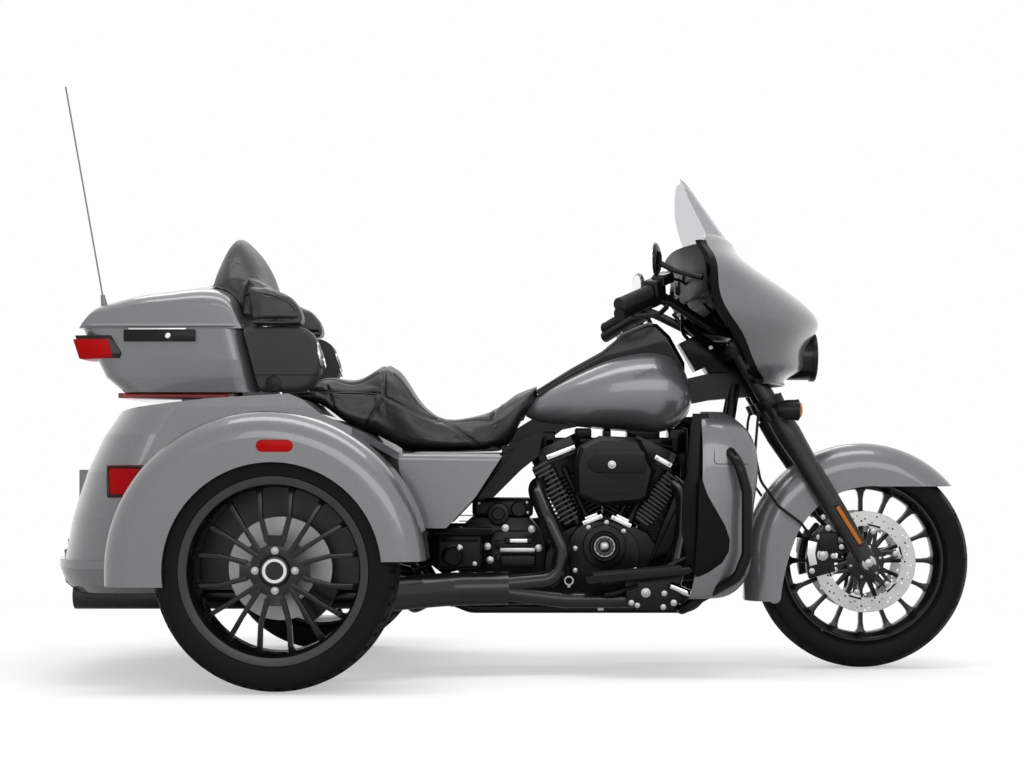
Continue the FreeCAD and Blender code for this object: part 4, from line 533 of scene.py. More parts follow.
def addPlate(shape, outline, away, depth, round=0.003, steps=2, material=0, bothSides=True):
    # outline holds (x, z) points, away is their y, depth is how far they are extruded along y
    old = set(shape.faces)
    face = shape.faces.new([shape.verts.new((x, away, z)) for x, z in outline])
    made = bmesh.ops.extrude_face_region(shape, geom=[face])
    far = kindOf(made, bmesh.types.BMVert)
    bmesh.ops.translate(shape, verts=far, vec=(0, depth, 0))
    tops = kindOf(made, bmesh.types.BMFace)
    if round:
        edges = set(tops[0].edges) | (set(face.edges) if bothSides and face.is_valid else set())
        roundEdges(shape, edges, round, steps)
    tint(shape, old, material)


def addBlock(shape, low, high, round=0.0, steps=2, material=0, turn=None):
    # a box between two corners, its edges rounded, turned about its middle if asked
    old = set(shape.faces)
    low, high = Vector(low), Vector(high)
    size = high - low
    place = Matrix.Translation((low + high) / 2)
    if turn:
        place = place @ turn
    place = place @ Matrix.Diagonal((size.x, size.y, size.z, 1))
    made = bmesh.ops.create_cube(shape, size=1, matrix=place)
    if round:
        edges = list({edge for vert in made["verts"] for edge in vert.link_edges})
        roundEdges(shape, edges, round, steps)
    tint(shape, old, material)


def addBolt(shape, place, axis, radius, height, material=0, sides=6, washer=0.0):
    axis = Vector(axis).normalized()
    turn = axis.to_track_quat("Z", "Y").to_matrix().to_4x4()
    old = set(shape.faces)
    if washer:
        addTurned(shape, [(0, 0), (washer, 0), (washer, height * 0.18), (washer * 0.94, height * 0.22),
                          (0, height * 0.22)], place, axis, 20, material)
    middle = Vector(place) + axis * height / 2
    made = bmesh.ops.create_cone(shape, cap_ends=True, segments=sides, radius1=radius, radius2=radius,
                                 depth=height, matrix=Matrix.Translation(middle) @ turn)
    top = [edge for edge in {edge for vert in made["verts"] for edge in vert.link_edges}
           if all((vert.co - middle).dot(axis) > height * 0.4 for vert in edge.verts)]
    roundEdges(shape, top, radius * 0.16, 2, clamp=False)
    tint(shape, old, material)


def addBeam(shape, stations, round=0.0015, material=0):
    # a bar through stations of (middle, across half, out half), each square to the first run
    old = set(shape.faces)
    rings = []
    for middle, across, out in stations:
        middle, across, out = Vector(middle), Vector(across), Vector(out)
        rings.append([shape.verts.new(middle + across * a + out * b) for a,
                      b in ((-1, -1), (1, -1), (1, 1), (-1, 1))])
    for first, second in zip(rings, rings[1:]):
        for index in range(4):
            following = (index + 1) % 4
            shape.faces.new([first[index], first[following], second[following], second[index]])
    shape.faces.new(rings[0][::-1])
    shape.faces.new(rings[-1])
    if round:
        long = [edge for ring, following in zip(rings, rings[1:]) for vert, other in zip(ring, following)
                for edge in vert.link_edges if edge.other_vert(vert) == other]
        roundEdges(shape, long, round, 2, clamp=False)
    tint(shape, old, material)


def addSpoke(shape, hub, way, out, rows, round, tilt=1):
    # a bar that runs out from a hub, way holds the ways out and across
    direction, across = way
    addBeam(shape, [(hub + direction * away + out * height + across * shift * tilt, across * half, out * thick)
                    for away, height, shift, half, thick in rows], round)


# Tyres

tyres = {
    "frontTyre": {
        "hub": frontHub, "steps": 168, "top": 0.3195,
        "fall": 0.0165, "reach": 0.052, "power": 2.0, "columns": 10, "every": 12, "skew": 1.3, "edge": 0.012,
        "grooves": (0.0,), "grooveWidth": 0.005, "pit": 0.004,
        "side": [(0.046, 0.2402), (0.050, 0.2425), (0.0545, 0.2475), (0.0575, 0.2490), (0.0600, 0.2540),
                 (0.0630, 0.2660), (0.0646, 0.2790), (0.0635, 0.2920), (0.0590, 0.2990), (0.0550, 0.3020)],
    },
    "rearTyre": {
        "hub": rearHub, "steps": 180, "top": 0.3255,
        "fall": 0.0135, "reach": 0.0955, "power": 3.0, "columns": 22, "every": 4, "skew": 0.25, "edge": 0.060,
        "grooves": (-0.054, -0.018, 0.018, 0.054), "grooveWidth": 0.008, "pit": 0.006,
        "side": [(0.0905, 0.2442), (0.0945, 0.2460), (0.0985, 0.2500), (0.1025, 0.2520), (0.1045, 0.2560),
                 (0.1050, 0.2680), (0.1072, 0.2820), (0.1065, 0.2960), (0.1035, 0.3050), (0.0990, 0.3105)],
    },
}


def treadHeight(plan, across):
    return plan["top"] - plan["fall"] * (abs(across) / plan["reach"]) ** plan["power"]


def makeTyre(name, plan, middle, node, body):
    hub = Vector((plan["hub"][0], middle, plan["hub"][2]))
    columns, reach = plan["columns"], plan["reach"]
    profile = [(height, -across) for across, height in plan["side"]]
    for index in range(columns + 1):
        across = -reach + 2 * reach * index / columns
        near = min(plan["grooves"], key=lambda groove: abs(groove - across))
        inGroove = abs(near - across) < plan["grooveWidth"] / 2 + 0.0001
        profile.append((treadHeight(plan, across) - (plan["pit"] if inGroove else 0), across))
    profile += [(height, across) for across, height in reversed(plan["side"])]
    shape = bmesh.new()
    addTurned(shape, profile, hub, (0, 1, 0), plan["steps"], closed=True)
    bmesh.ops.remove_doubles(shape, verts=shape.verts, dist=0.00002)
    bmesh.ops.recalc_face_normals(shape, faces=shape.faces)
    sipes = []
    for face in shape.faces:
        place = face.calc_center_median() - hub
        distance = math.hypot(place.x, place.z)
        across = abs(place.y)
        if distance > plan["top"] - plan["fall"] - 0.006 and across > plan["edge"]:
            turn = math.atan2(place.z, place.x) / (2 * math.pi) * plan["steps"]
            shift = across / (2 * reach / columns) * plan["skew"]
            side = 0 if place.y > 0 else plan["every"] / 2
            if math.floor(turn + shift + side) % plan["every"] == 0:
                sipes.append(face)
    bmesh.ops.inset_region(shape, faces=sipes, thickness=0.0008, depth=-plan["pit"] * 0.8, use_boundary=True,
                           use_even_offset=True)
    setPiece(name, shape, ["rubber"], body, [node], sharp=28)


makeTyre("frontTyre", tyres["frontTyre"], 0, "front_tyre", "front_wheel")
for side, middle in (("right", -wheelReach), ("left", wheelReach)):
    makeTyre("rearTyre" + side.title(), tyres["rearTyre"], middle, "rear_tyre_" + side, "rear_wheel_" + side)
print("tyres made")


# Rear wheels

rearWheel = {
    "barrel": [(0.2437, -0.0940), (0.2405, -0.0962), (0.2345, -0.0962), (0.2315, -0.0940), (0.2300, -0.0800),
               (0.2220, -0.0560), (0.2220, 0.0560), (0.2300, 0.0800), (0.2315, 0.0940), (0.2345, 0.0962),
               (0.2405, 0.0962), (0.2437, 0.0940), (0.2437, 0.0660), (0.2337, 0.0470), (0.2337, -0.0470),
               (0.2437, -0.0660)],
    "hub": [(0, -0.040), (0.060, -0.040), (0.066, 0.040), (0.070, 0.060), (0.069, 0.066), (0.064, 0.068),
            (0.045, 0.067), (0.042, 0.069), (0.0405, 0.075), (0.038, 0.0785), (0.033, 0.0795),
            (0.0315, 0.0775), (0.0245, 0.0775), (0.023, 0.0765), (0, 0.0775)],
    "face": 0.0735, "depth": 0.013, "lugCircle": 0.053,
    # rows hold distance from the hub, height, shift across, half width, half thickness
    "wideFoot": [(0.040, 0.054, 0, 0.020, 0.012), (0.072, 0.056, 0, 0.023, 0.012),
                 (0.094, 0.058, 0, 0.027, 0.012)],
    "slimFoot": [(0.040, 0.054, 0, 0.013, 0.012), (0.070, 0.057, 0, 0.012, 0.012),
                 (0.092, 0.058, 0, 0.016, 0.012)],
}


def makeRearWheel(side, sign):
    hub = rearHub + Vector((0, sign * wheelReach, 0))
    out = Vector((0, sign, 0))
    shape = bmesh.new()
    addTurned(shape, rearWheel["barrel"], hub, (0, 1, 0), 128, 0, closed=True)
    addTurned(shape, rearWheel["hub"], hub, out, 64, 0)
    shape.faces.ensure_lookup_table()
    for face in shape.faces:
        place = face.calc_center_median() - hub
        distance = math.hypot(place.x, place.z)
        if place.dot(out) > 0.074 and 0.0245 < distance < 0.0325:
            face.material_index = 1

    def arm(angle, innerShift, outerShift, inner, width):
        # one spoke from near the hub to the barrel
        def at(radius, turn, height, half):
            direction = outward(turn)
            along = outward(angle + outerShift)
            across = along.cross(Vector((0, 1, 0))).normalized()
            return (hub + direction * radius + out * (height - rearWheel["depth"]), across * half,
                    out * rearWheel["depth"])
        face = rearWheel["face"]
        addBeam(shape, [
            at(inner, angle + innerShift, face - 0.002, width),
            at(0.150, angle + (innerShift + outerShift) * 0.5 + outerShift * 0.13, face, width * 0.86),
            at(0.205, angle + outerShift * 0.98, face - 0.003, width * 0.95),
            at(0.2285, angle + outerShift, face - 0.016, width * 1.5),
        ], 0.0022)

    for quarter in range(4):
        angle = quarter * math.pi / 2
        for tilt in (-1, 1):
            arm(angle, tilt * 0.262, tilt * 0.205, 0.078, 0.0070)
            arm(angle + math.pi / 4, tilt * 0.085, tilt * 0.192, 0.060, 0.0068)
        direction = outward(angle)
        addSpoke(shape, hub, (direction, sideways(angle)), out, rearWheel["wideFoot"], 0.003)
        lug = hub + direction * rearWheel["lugCircle"] + out * 0.0665
        addBolt(shape, lug, out, 0.0078, 0.010, 2, 6, 0.0105)
        between = angle + math.pi / 4
        addSpoke(shape, hub, (outward(between), sideways(between)), out, rearWheel["slimFoot"], 0.003)
    for number in range(16):
        turn = (number + 0.5) * math.pi / 8
        first, last = turn - 0.115, turn + 0.115
        stations = []
        for share in (0, 0.5, 1):
            here = first + (last - first) * share
            direction = outward(here)
            stations.append((hub + direction * 0.2245 + out * 0.040, direction * 0.0022, out * 0.014))
        addBeam(shape, stations, 0.0006, 3)
    addTurned(shape, [(0.2290, 0.0935), (0.2290, 0.0985), (0.2305, 0.1000), (0.2480, 0.1045),
                      (0.2505, 0.1045), (0.2510, 0.1030), (0.2440, 0.0960)], hub, out, 128, 4, closed=True)
    setPiece("rearRim" + side.title(), shape, ["wheel", "machined", "steel", "darkMetal", "rimLip"],
             "rear_wheel_" + side, ["rear_rim_" + side], sharp=30)

    disc = bmesh.new()
    inner = hub - out * 0.0403
    addTurned(disc, [(0.036, 0), (0.140, 0), (0.140, -0.003), (0.136, -0.0035), (0.136, -0.0065),
                     (0.140, -0.007), (0.140, -0.010), (0.036, -0.010)], inner, out, 96, 0, closed=True)
    for direction, across in around(10):
        addBolt(disc, inner + direction * 0.052 + out * 0.0002, out, 0.005, 0.005, 1, 6, 0.0075)
    setPiece("rearDisc" + side.title(), disc, ["rearDisc", "steel"], "rear_wheel_" + side,
             ["rear_disc_" + side])


makeRearWheel("right", -1)
makeRearWheel("left", 1)
print("rear wheels made")


# Front wheel

frontWheel = {
    "barrel": [(0.2397, -0.0480), (0.2370, -0.0505), (0.2320, -0.0505), (0.2290, -0.0480), (0.2260, -0.0380),
               (0.2170, -0.0280), (0.2140, -0.0180), (0.2140, 0.0180), (0.2170, 0.0280), (0.2260, 0.0380),
               (0.2290, 0.0480), (0.2320, 0.0505), (0.2370, 0.0505), (0.2397, 0.0480), (0.2397, 0.0350),
               (0.2310, 0.0250), (0.2310, -0.0250), (0.2397, -0.0350)],
    "hub": [(0.0128, -0.070), (0.036, -0.070), (0.040, -0.066), (0.042, -0.040), (0.052, -0.024),
            (0.054, -0.018), (0.054, 0.018), (0.052, 0.024), (0.042, 0.040), (0.040, 0.066),
            (0.036, 0.070), (0.0128, 0.070)],
    "armTurn": 0.26,
    # rows hold distance from the hub, height, shift across, half width, half thickness
    "spoke": [(0.048, 0, 0, 0.0085, 0.016), (0.090, 0, 0, 0.0058, 0.013), (0.186, 0, 0, 0.0062, 0.012),
              (0.205, 0, 0, 0.0092, 0.013), (0.2165, 0, 0, 0.0175, 0.016)],
    "discArm": [(0.112, 0, 0, 0.019, 0.0025), (0.097, 0, 0, 0.013, 0.0025), (0.088, 0, 0, 0.008, 0.0025)],
    "carrierArm": [(0.046, 0, 0.014, 0.0065, 0.003), (0.074, 0, 0.010, 0.0055, 0.003),
                   (0.098, 0, 0.004, 0.0085, 0.003)],
}


def makeFrontWheel():
    hub = frontHub
    shape = bmesh.new()
    addTurned(shape, frontWheel["barrel"], hub, (0, 1, 0), 128, 0, closed=True)
    addTurned(shape, frontWheel["hub"], hub, (0, 1, 0), 64, 0, closed=True)
    for way in around(16, math.pi / 2):
        addSpoke(shape, hub, way, Vector((0, 1, 0)), frontWheel["spoke"], 0.003)
    setPiece("frontRim", shape, ["wheel"], "front_wheel", ["front_rim"], sharp=30)

    cutters = bmesh.new()
    ring = bmesh.new()
    for sign in (-1, 1):
        centre = hub + Vector((0, sign * 0.0735, 0))
        addTurned(ring, [(0.107, -0.0025), (0.1495, -0.0025), (0.150, -0.002), (0.150, 0.002),
                         (0.1495, 0.0025), (0.107, 0.0025)], centre, (0, 1, 0), 96, 0, closed=True)
        for way in around(6, frontWheel["armTurn"]):
            addSpoke(ring, centre, way, Vector((0, 1, 0)), frontWheel["discArm"], 0.0005)
        for number in range(36):
            turn = number * math.pi / 18
            radius = (0.117, 0.127, 0.137, 0.143)[number % 4]
            for extra in (0, 1):
                place = centre + outward(turn + extra * 0.09) * (radius - extra * 0.006)
                hole = Matrix.Translation(place) @ Matrix.Rotation(math.pi / 2, 4, "X")
                bmesh.ops.create_cone(cutters, cap_ends=True, segments=10, radius1=0.0032, radius2=0.0032,
                                      depth=0.02, matrix=hole)
    discs = setPiece("frontDiscs", ring, ["disc"], "front_wheel", ["front_discs"],
                     merge=0.00001)
    mesh = bpy.data.meshes.new("drillings")
    cutters.to_mesh(mesh)
    cutters.free()
    drill = placeObject("drillings", mesh)
    change = discs.modifiers.new("drilled", "BOOLEAN")
    change.operation = "DIFFERENCE"
    change.solver = "FAST"
    change.object = drill
    bpy.context.view_layer.update()
    done = bpy.data.meshes.new_from_object(discs.evaluated_get(bpy.context.evaluated_depsgraph_get()))
    discs.modifiers.clear()
    discs.data = done
    bpy.data.objects.remove(drill)

    carrier = bmesh.new()
    for sign in (-1, 1):
        centre = hub + Vector((0, sign * 0.0745, 0))
        out = Vector((0, sign, 0))
        addTurned(carrier, [(0.014, -0.003), (0.050, -0.003), (0.056, 0), (0.056, 0.003), (0.050, 0.006),
                            (0.038, 0.007), (0.030, 0.012), (0.014, 0.012)], centre, out, 48, 0, closed=True)
        for direction, across in around(6, frontWheel["armTurn"]):
            for tilt in (-1, 1):
                addSpoke(carrier, centre, (direction, across), out, frontWheel["carrierArm"], 0.0012, tilt)
            addBolt(carrier, centre + direction * 0.093 + out * 0.003, out, 0.0058, 0.004, 1, 6, 0.0085)
            addBolt(carrier, centre + direction * 0.044 + out * 0.005, out, 0.0048, 0.005, 1, 6, 0.0065)
    setPiece("frontDiscCarriers", carrier, ["wheel", "steel"], "front_wheel")


makeFrontWheel()
print("front wheel made")


# Rounded copies of the frame's hard nodes

def meshOf(item):
    bpy.context.view_layer.update()
    return bpy.data.meshes.new_from_object(item.evaluated_get(bpy.context.evaluated_depsgraph_get()))


def copyOf(node):
    shape = bmesh.new()
    shape.from_mesh(cadNodes[node].data)
    shape.transform(cadNodes[node].matrix_world)
    return shape


def treeOf(node):
    # the node's skin, ready for rays
    shape = copyOf(node)
    tree = BVHTree.FromBMesh(shape)
    shape.free()
    return tree


def mergedCopy(node):
    # the node's triangles joined into one skin, flat faces made whole
    shape = copyOf(node)
    bmesh.ops.remove_doubles(shape, verts=shape.verts, dist=0.00003)
    bmesh.ops.dissolve_limit(shape, angle_limit=math.radians(0.6), use_dissolve_boundaries=False,
                             verts=shape.verts, edges=shape.edges, delimit=set())
    return shape


def boxOf(shape):
    return [limit(vert.co[axis] for vert in shape.verts) for axis in range(3) for limit in (min, max)]


def makeRounded(name, node, body, finishName, width=0.002, angle=32):
    # a copy of a node with every hard edge rounded
    plain = mergedCopy(node)
    before = boxOf(plain)
    round = plain.copy()
    limit = math.radians(angle)
    edges = [edge for edge in round.edges if len(edge.link_faces) == 2 and edge.calc_face_angle(0) > limit
             and edge.calc_length() > width * 0.8]
    roundEdges(round, edges, width, 2, slide=True)
    after = boxOf(round)
    if max(abs(a - b) for a, b in zip(before, after)) > 0.0015:
        print(name, "keeps its plain edges")
        round.free()
        round = plain
    else:
        plain.free()
    return setPiece(name, round, [finishName], body, [node], sharp=30, merge=0.00001)


def addTube(shape, points, radius, material=0, sides=3, closed=False, order=3):
    # a smooth round line through or near the points
    old = set(shape.faces)
    curve = bpy.data.curves.new("line", "CURVE")
    curve.dimensions = "3D"
    curve.bevel_depth = radius
    curve.bevel_resolution = sides
    curve.use_fill_caps = True
    spline = curve.splines.new("NURBS")
    spline.points.add(len(points) - 1)
    for point, place in zip(spline.points, points):
        point.co = (*place, 1)
    spline.use_cyclic_u = closed
    spline.order_u = min(order, len(points))
    spline.use_endpoint_u = not closed
    spline.resolution_u = 6
    holder = placeObject("line", curve)
    mesh = meshOf(holder)
    shape.from_mesh(mesh)
    bpy.data.objects.remove(holder)
    bpy.data.meshes.remove(mesh)
    tint(shape, old, material)


def addLoft(shape, rings, material=0, closed=True, caps=True):
    # skins a row of rings that have the same number of points
    old = set(shape.faces)
    rows = [[shape.verts.new(point) for point in ring] for ring in rings]
    count = len(rows[0])
    for first, second in zip(rows, rows[1:]):
        for index in range(count if closed else count - 1):
            following = (index + 1) % count
            shape.faces.new([first[index], first[following], second[following], second[index]])
    if caps and closed:
        shape.faces.new(rows[0][::-1])
        shape.faces.new(rows[-1])
    tint(shape, old, material)


roundedNodes = [
    # piece, node, body, finish, slot, edge width
    ("crankcaseCastings", "crankcase", "chassis", "engine", "engine_black", 0.003),
    ("gearboxCastings", "gearbox", "chassis", "engine", "engine_black", 0.003),
    ("primaryCasting", "primary_cover", "chassis", "engine", "engine_black", 0.003),
    ("frontCylinderCasting", "front_cylinder", "chassis", "fins", "engine_black", 0.0012),
    ("rearCylinderCasting", "rear_cylinder", "chassis", "fins", "engine_black", 0.0012),
    ("airCleanerCover", "air_cleaner", "chassis", "satin", "black_satin", 0.003),
    ("rearSpeakers", "speaker_pods", "chassis", "vinyl", "grained_vinyl", 0.004),
    ("latchPlate", "pack_latch", "chassis", "satin", "black_satin", 0.002),
    ("forkClamps", "triple_clamps", "fork", "satin", "black_satin", 0.003),
    ("brakeCalipers", "front_calipers", "fork", "satin", "black_satin", 0.003),
    ("boardsAndPedals", "foot_controls", "chassis", "frame", "frame_black", 0.002),
    ("tankConsole", "tank_console", "chassis", "gloss", "black_gloss", 0.002),
    ("instrumentPanel", "dash_panel", "fork", "plastic", "black_gloss", 0.003),
]
for name, node, body, finishName, slotName, width in roundedNodes:
    makeRounded(name, node, body, finishName, width)
print("hard nodes rounded")


# Padded pieces

soft = {
    "seat": {
        "node": "seat", "voxel": 0.006, "shrink": 0.004, "cap": 0.009, "smooth": 7,
        "side": [
            [(-0.409, 0.795), (-0.464, 0.706)], [(-0.568, 0.836), (-0.537, 0.744)],
            [(-0.402, 0.880), (-0.400, 0.804), (-0.298, 0.755), (-0.205, 0.722), (-0.129, 0.666)],
            [(-0.620, 0.822), (-0.544, 0.817), (-0.417, 0.815)],
        ],
        "top": [
            [(-0.402, 0.0), (-0.404, 0.20)], [(-0.090, 0.128), (-0.190, 0.142), (-0.290, 0.140),
                                              (-0.372, 0.128)],
            [(-0.090, 0.128), (-0.072, 0.060), (-0.066, 0.0)],
            [(-0.425, 0.130), (-0.520, 0.136), (-0.640, 0.124)],
        ],
        "welts": [[(-0.655, 0.815), (-0.600, 0.818), (-0.544, 0.816), (-0.470, 0.816), (-0.420, 0.812)]],
    },
    "backrest": {
        "node": "pack_backrest", "voxel": 0.005, "shrink": 0.003, "cap": 0.007, "smooth": 7,
        "side": [[(-0.640, 1.022), (-0.700, 1.019), (-0.770, 1.019)]],
        "top": [],
        "welts": [[(-0.800, 1.096), (-0.770, 1.099), (-0.730, 1.094), (-0.690, 1.083), (-0.658, 1.066),
                   (-0.642, 1.044)]],
    },
}


def fall(distance, width):
    return math.exp(-(distance / width) ** 2)


def lineDistance(u, v, line):
    # how far a flat point is from a broken line
    best = 1.0
    for (a, b), (c, d) in zip(line, line[1:]):
        run, rise = c - a, d - b
        share = max(0.0, min(1.0, ((u - a) * run + (v - b) * rise) / (run * run + rise * rise)))
        best = min(best, math.hypot(u - a - run * share, v - b - rise * share))
    return best


def weigh(normal):
    return max(0.0, min(1.0, (normal.z + 0.45) / 0.5))


def makeSoft(name, plan, body):
    shape = mergedCopy(plan["node"])
    start = bpy.data.meshes.new(name + "Start")
    shape.to_mesh(start)
    shape.free()
    maker = placeObject(name + "Start", start)
    remesh = maker.modifiers.new("remesh", "REMESH")
    remesh.mode = "VOXEL"
    remesh.voxel_size = plan["voxel"]
    skin = meshOf(maker)
    maker.modifiers.clear()
    shape = bmesh.new()
    shape.from_mesh(skin)
    for turn in range(plan["smooth"]):
        bmesh.ops.smooth_vert(shape, verts=shape.verts, factor=0.5, use_axis_x=True, use_axis_y=True,
                              use_axis_z=True)
    shape.normal_update()
    for vert in shape.verts:
        vert.co -= vert.normal * plan["shrink"] * weigh(vert.normal)
    shape.to_mesh(skin)
    maker.data = skin
    rest = [vert.co.copy() for vert in skin.vertices]
    hold = [weigh(vert.normal) for vert in skin.vertices]
    cloth = maker.modifiers.new("swell", "CLOTH")
    cloth.settings.quality = 4
    cloth.settings.use_pressure = True
    cloth.settings.uniform_pressure_force = 4
    cloth.settings.effector_weights.gravity = 0
    cloth.collision_settings.use_collision = False
    for step in range(1, 15):
        bpy.context.scene.frame_set(step)
    swollen = meshOf(maker)
    bpy.context.scene.frame_set(1)
    maker.modifiers.clear()
    for vert, place, share, full in zip(skin.vertices, rest, hold, swollen.vertices):
        moved = full.co - place
        if moved.length > plan["cap"]:
            moved = moved.normalized() * plan["cap"]
        vert.co = place + moved * share
    finer = maker.modifiers.new("finer", "SUBSURF")
    finer.levels = finer.render_levels = 1
    dense = meshOf(maker)
    bpy.data.objects.remove(maker)
    shape = bmesh.new()
    shape.from_mesh(dense)
    shape.normal_update()
    moves = []
    for vert in shape.verts:
        place, normal = vert.co, vert.normal
        near = 1.0
        if abs(normal.y) > 0.35:
            near = min([near] + [lineDistance(place.x, place.z, line) for line in plan["side"]])
        if normal.z > 0.35:
            near = min([near] + [lineDistance(place.x, abs(place.y), line) for line in plan["top"]])
        dent = -0.0042 * fall(near, 0.0034) + 0.0016 * fall(near - 0.011, 0.007)
        moves.append(normal * dent)
    for vert, move in zip(shape.verts, moves):
        vert.co += move
    tree = BVHTree.FromBMesh(shape)
    for side in (-1, 1):
        for line in plan["welts"]:
            points = []
            for x, z in line:
                hit = tree.ray_cast(Vector((x, side * 0.7, z)), Vector((0, -side, 0)))[0]
                if hit:
                    points.append(hit + Vector((0, side * 0.0008, 0)))
            if len(points) > 2:
                addTube(shape, points, 0.0028, 0)
    piece = setPiece(name, shape, ["leather"], body, [plan["node"]], sharp=60, merge=0.000005)
    return piece


makeSoft("saddle", soft["seat"], "chassis")
makeSoft("passengerBackrest", soft["backrest"], "lid")
print("padded pieces made")


# Windshield

screen = {
    "half": 0.430, "thickness": 0.004,
    "rows": [
        # height, nose x, wing edge x, share of the half width
        (1.2623, 0.613, 0.526, 0.69), (1.290, 0.592, 0.513, 0.668), (1.320, 0.571, 0.500, 0.64),
        (1.346, 0.553, 0.490, 0.60), (1.370, 0.536, 0.482, 0.54), (1.392, 0.521, 0.477, 0.48),
        (1.412, 0.507, 0.474, 0.41), (1.428, 0.496, 0.472, 0.34), (1.440, 0.487, 0.470, 0.27),
        (1.449, 0.481, 0.4695, 0.20), (1.454, 0.477, 0.469, 0.14),
    ],
}


def wingLine(nose, edge, half, height, count=36):
    # a round nose that sweeps back to both edges, seen in plan
    depth = nose - edge
    right = [(edge, -half), (edge + depth * 0.30, -half * 0.90), (edge + depth * 0.62, -half * 0.70),
             (edge + depth * 0.88, -half * 0.40)]
    knots = right + [(nose, 0)] + [(x, -y) for x, y in reversed(right)]
    line = []
    for step in range(count + 1):
        along = step / count * (len(knots) - 1)
        index = min(int(along), len(knots) - 2)
        share = along - index
        four = [knots[max(0, min(len(knots) - 1, index + shift))] for shift in (-1, 0, 1, 2)]
        spot = []
        for axis in range(2):
            a, b, c, d = (knot[axis] for knot in four)
            spot.append(0.5 * (2 * b + (c - a) * share + (2 * a - 5 * b + 4 * c - d) * share ** 2
                               + (3 * b - a - 3 * c + d) * share ** 3))
        line.append(Vector((spot[0], spot[1], height)))
    return line


def makeScreen():
    shape = bmesh.new()
    rows = [wingLine(nose, edge, share * screen["half"], height) for height, nose, edge,
            share in screen["rows"]]
    addLoft(shape, rows, closed=False, caps=False)
    bmesh.ops.recalc_face_normals(shape, faces=shape.faces)
    bmesh.ops.solidify(shape, geom=shape.faces[:], thickness=screen["thickness"])
    setPiece("windshieldScreen", shape, ["smoked"], "fork", ["windshield"], sharp=40)


makeScreen()
print("windshield made")


def addBar(shape, start, end, half, thick, round=0.001, material=0, out=(0, -1, 0)):
    # a straight bar seen from its side, half as tall as half says, its back on the line
    start, end, out = Vector(start), Vector(end), Vector(out)
    across = (end - start).cross(out).normalized()
    addBeam(shape, [(place + out * thick / 2, across * half, out * thick / 2) for place in (start, end)],
            round, material)


def mirrorAll(shape):
    # the left half of a piece from its right half
    made = bmesh.ops.duplicate(shape, geom=shape.verts[:] + shape.edges[:] + shape.faces[:])
    verts = kindOf(made, bmesh.types.BMVert)
    bmesh.ops.scale(shape, verts=verts, vec=(1, -1, 1))
    faces = kindOf(made, bmesh.types.BMFace)
    bmesh.ops.reverse_faces(shape, faces=faces)


# Engine trim on the right side

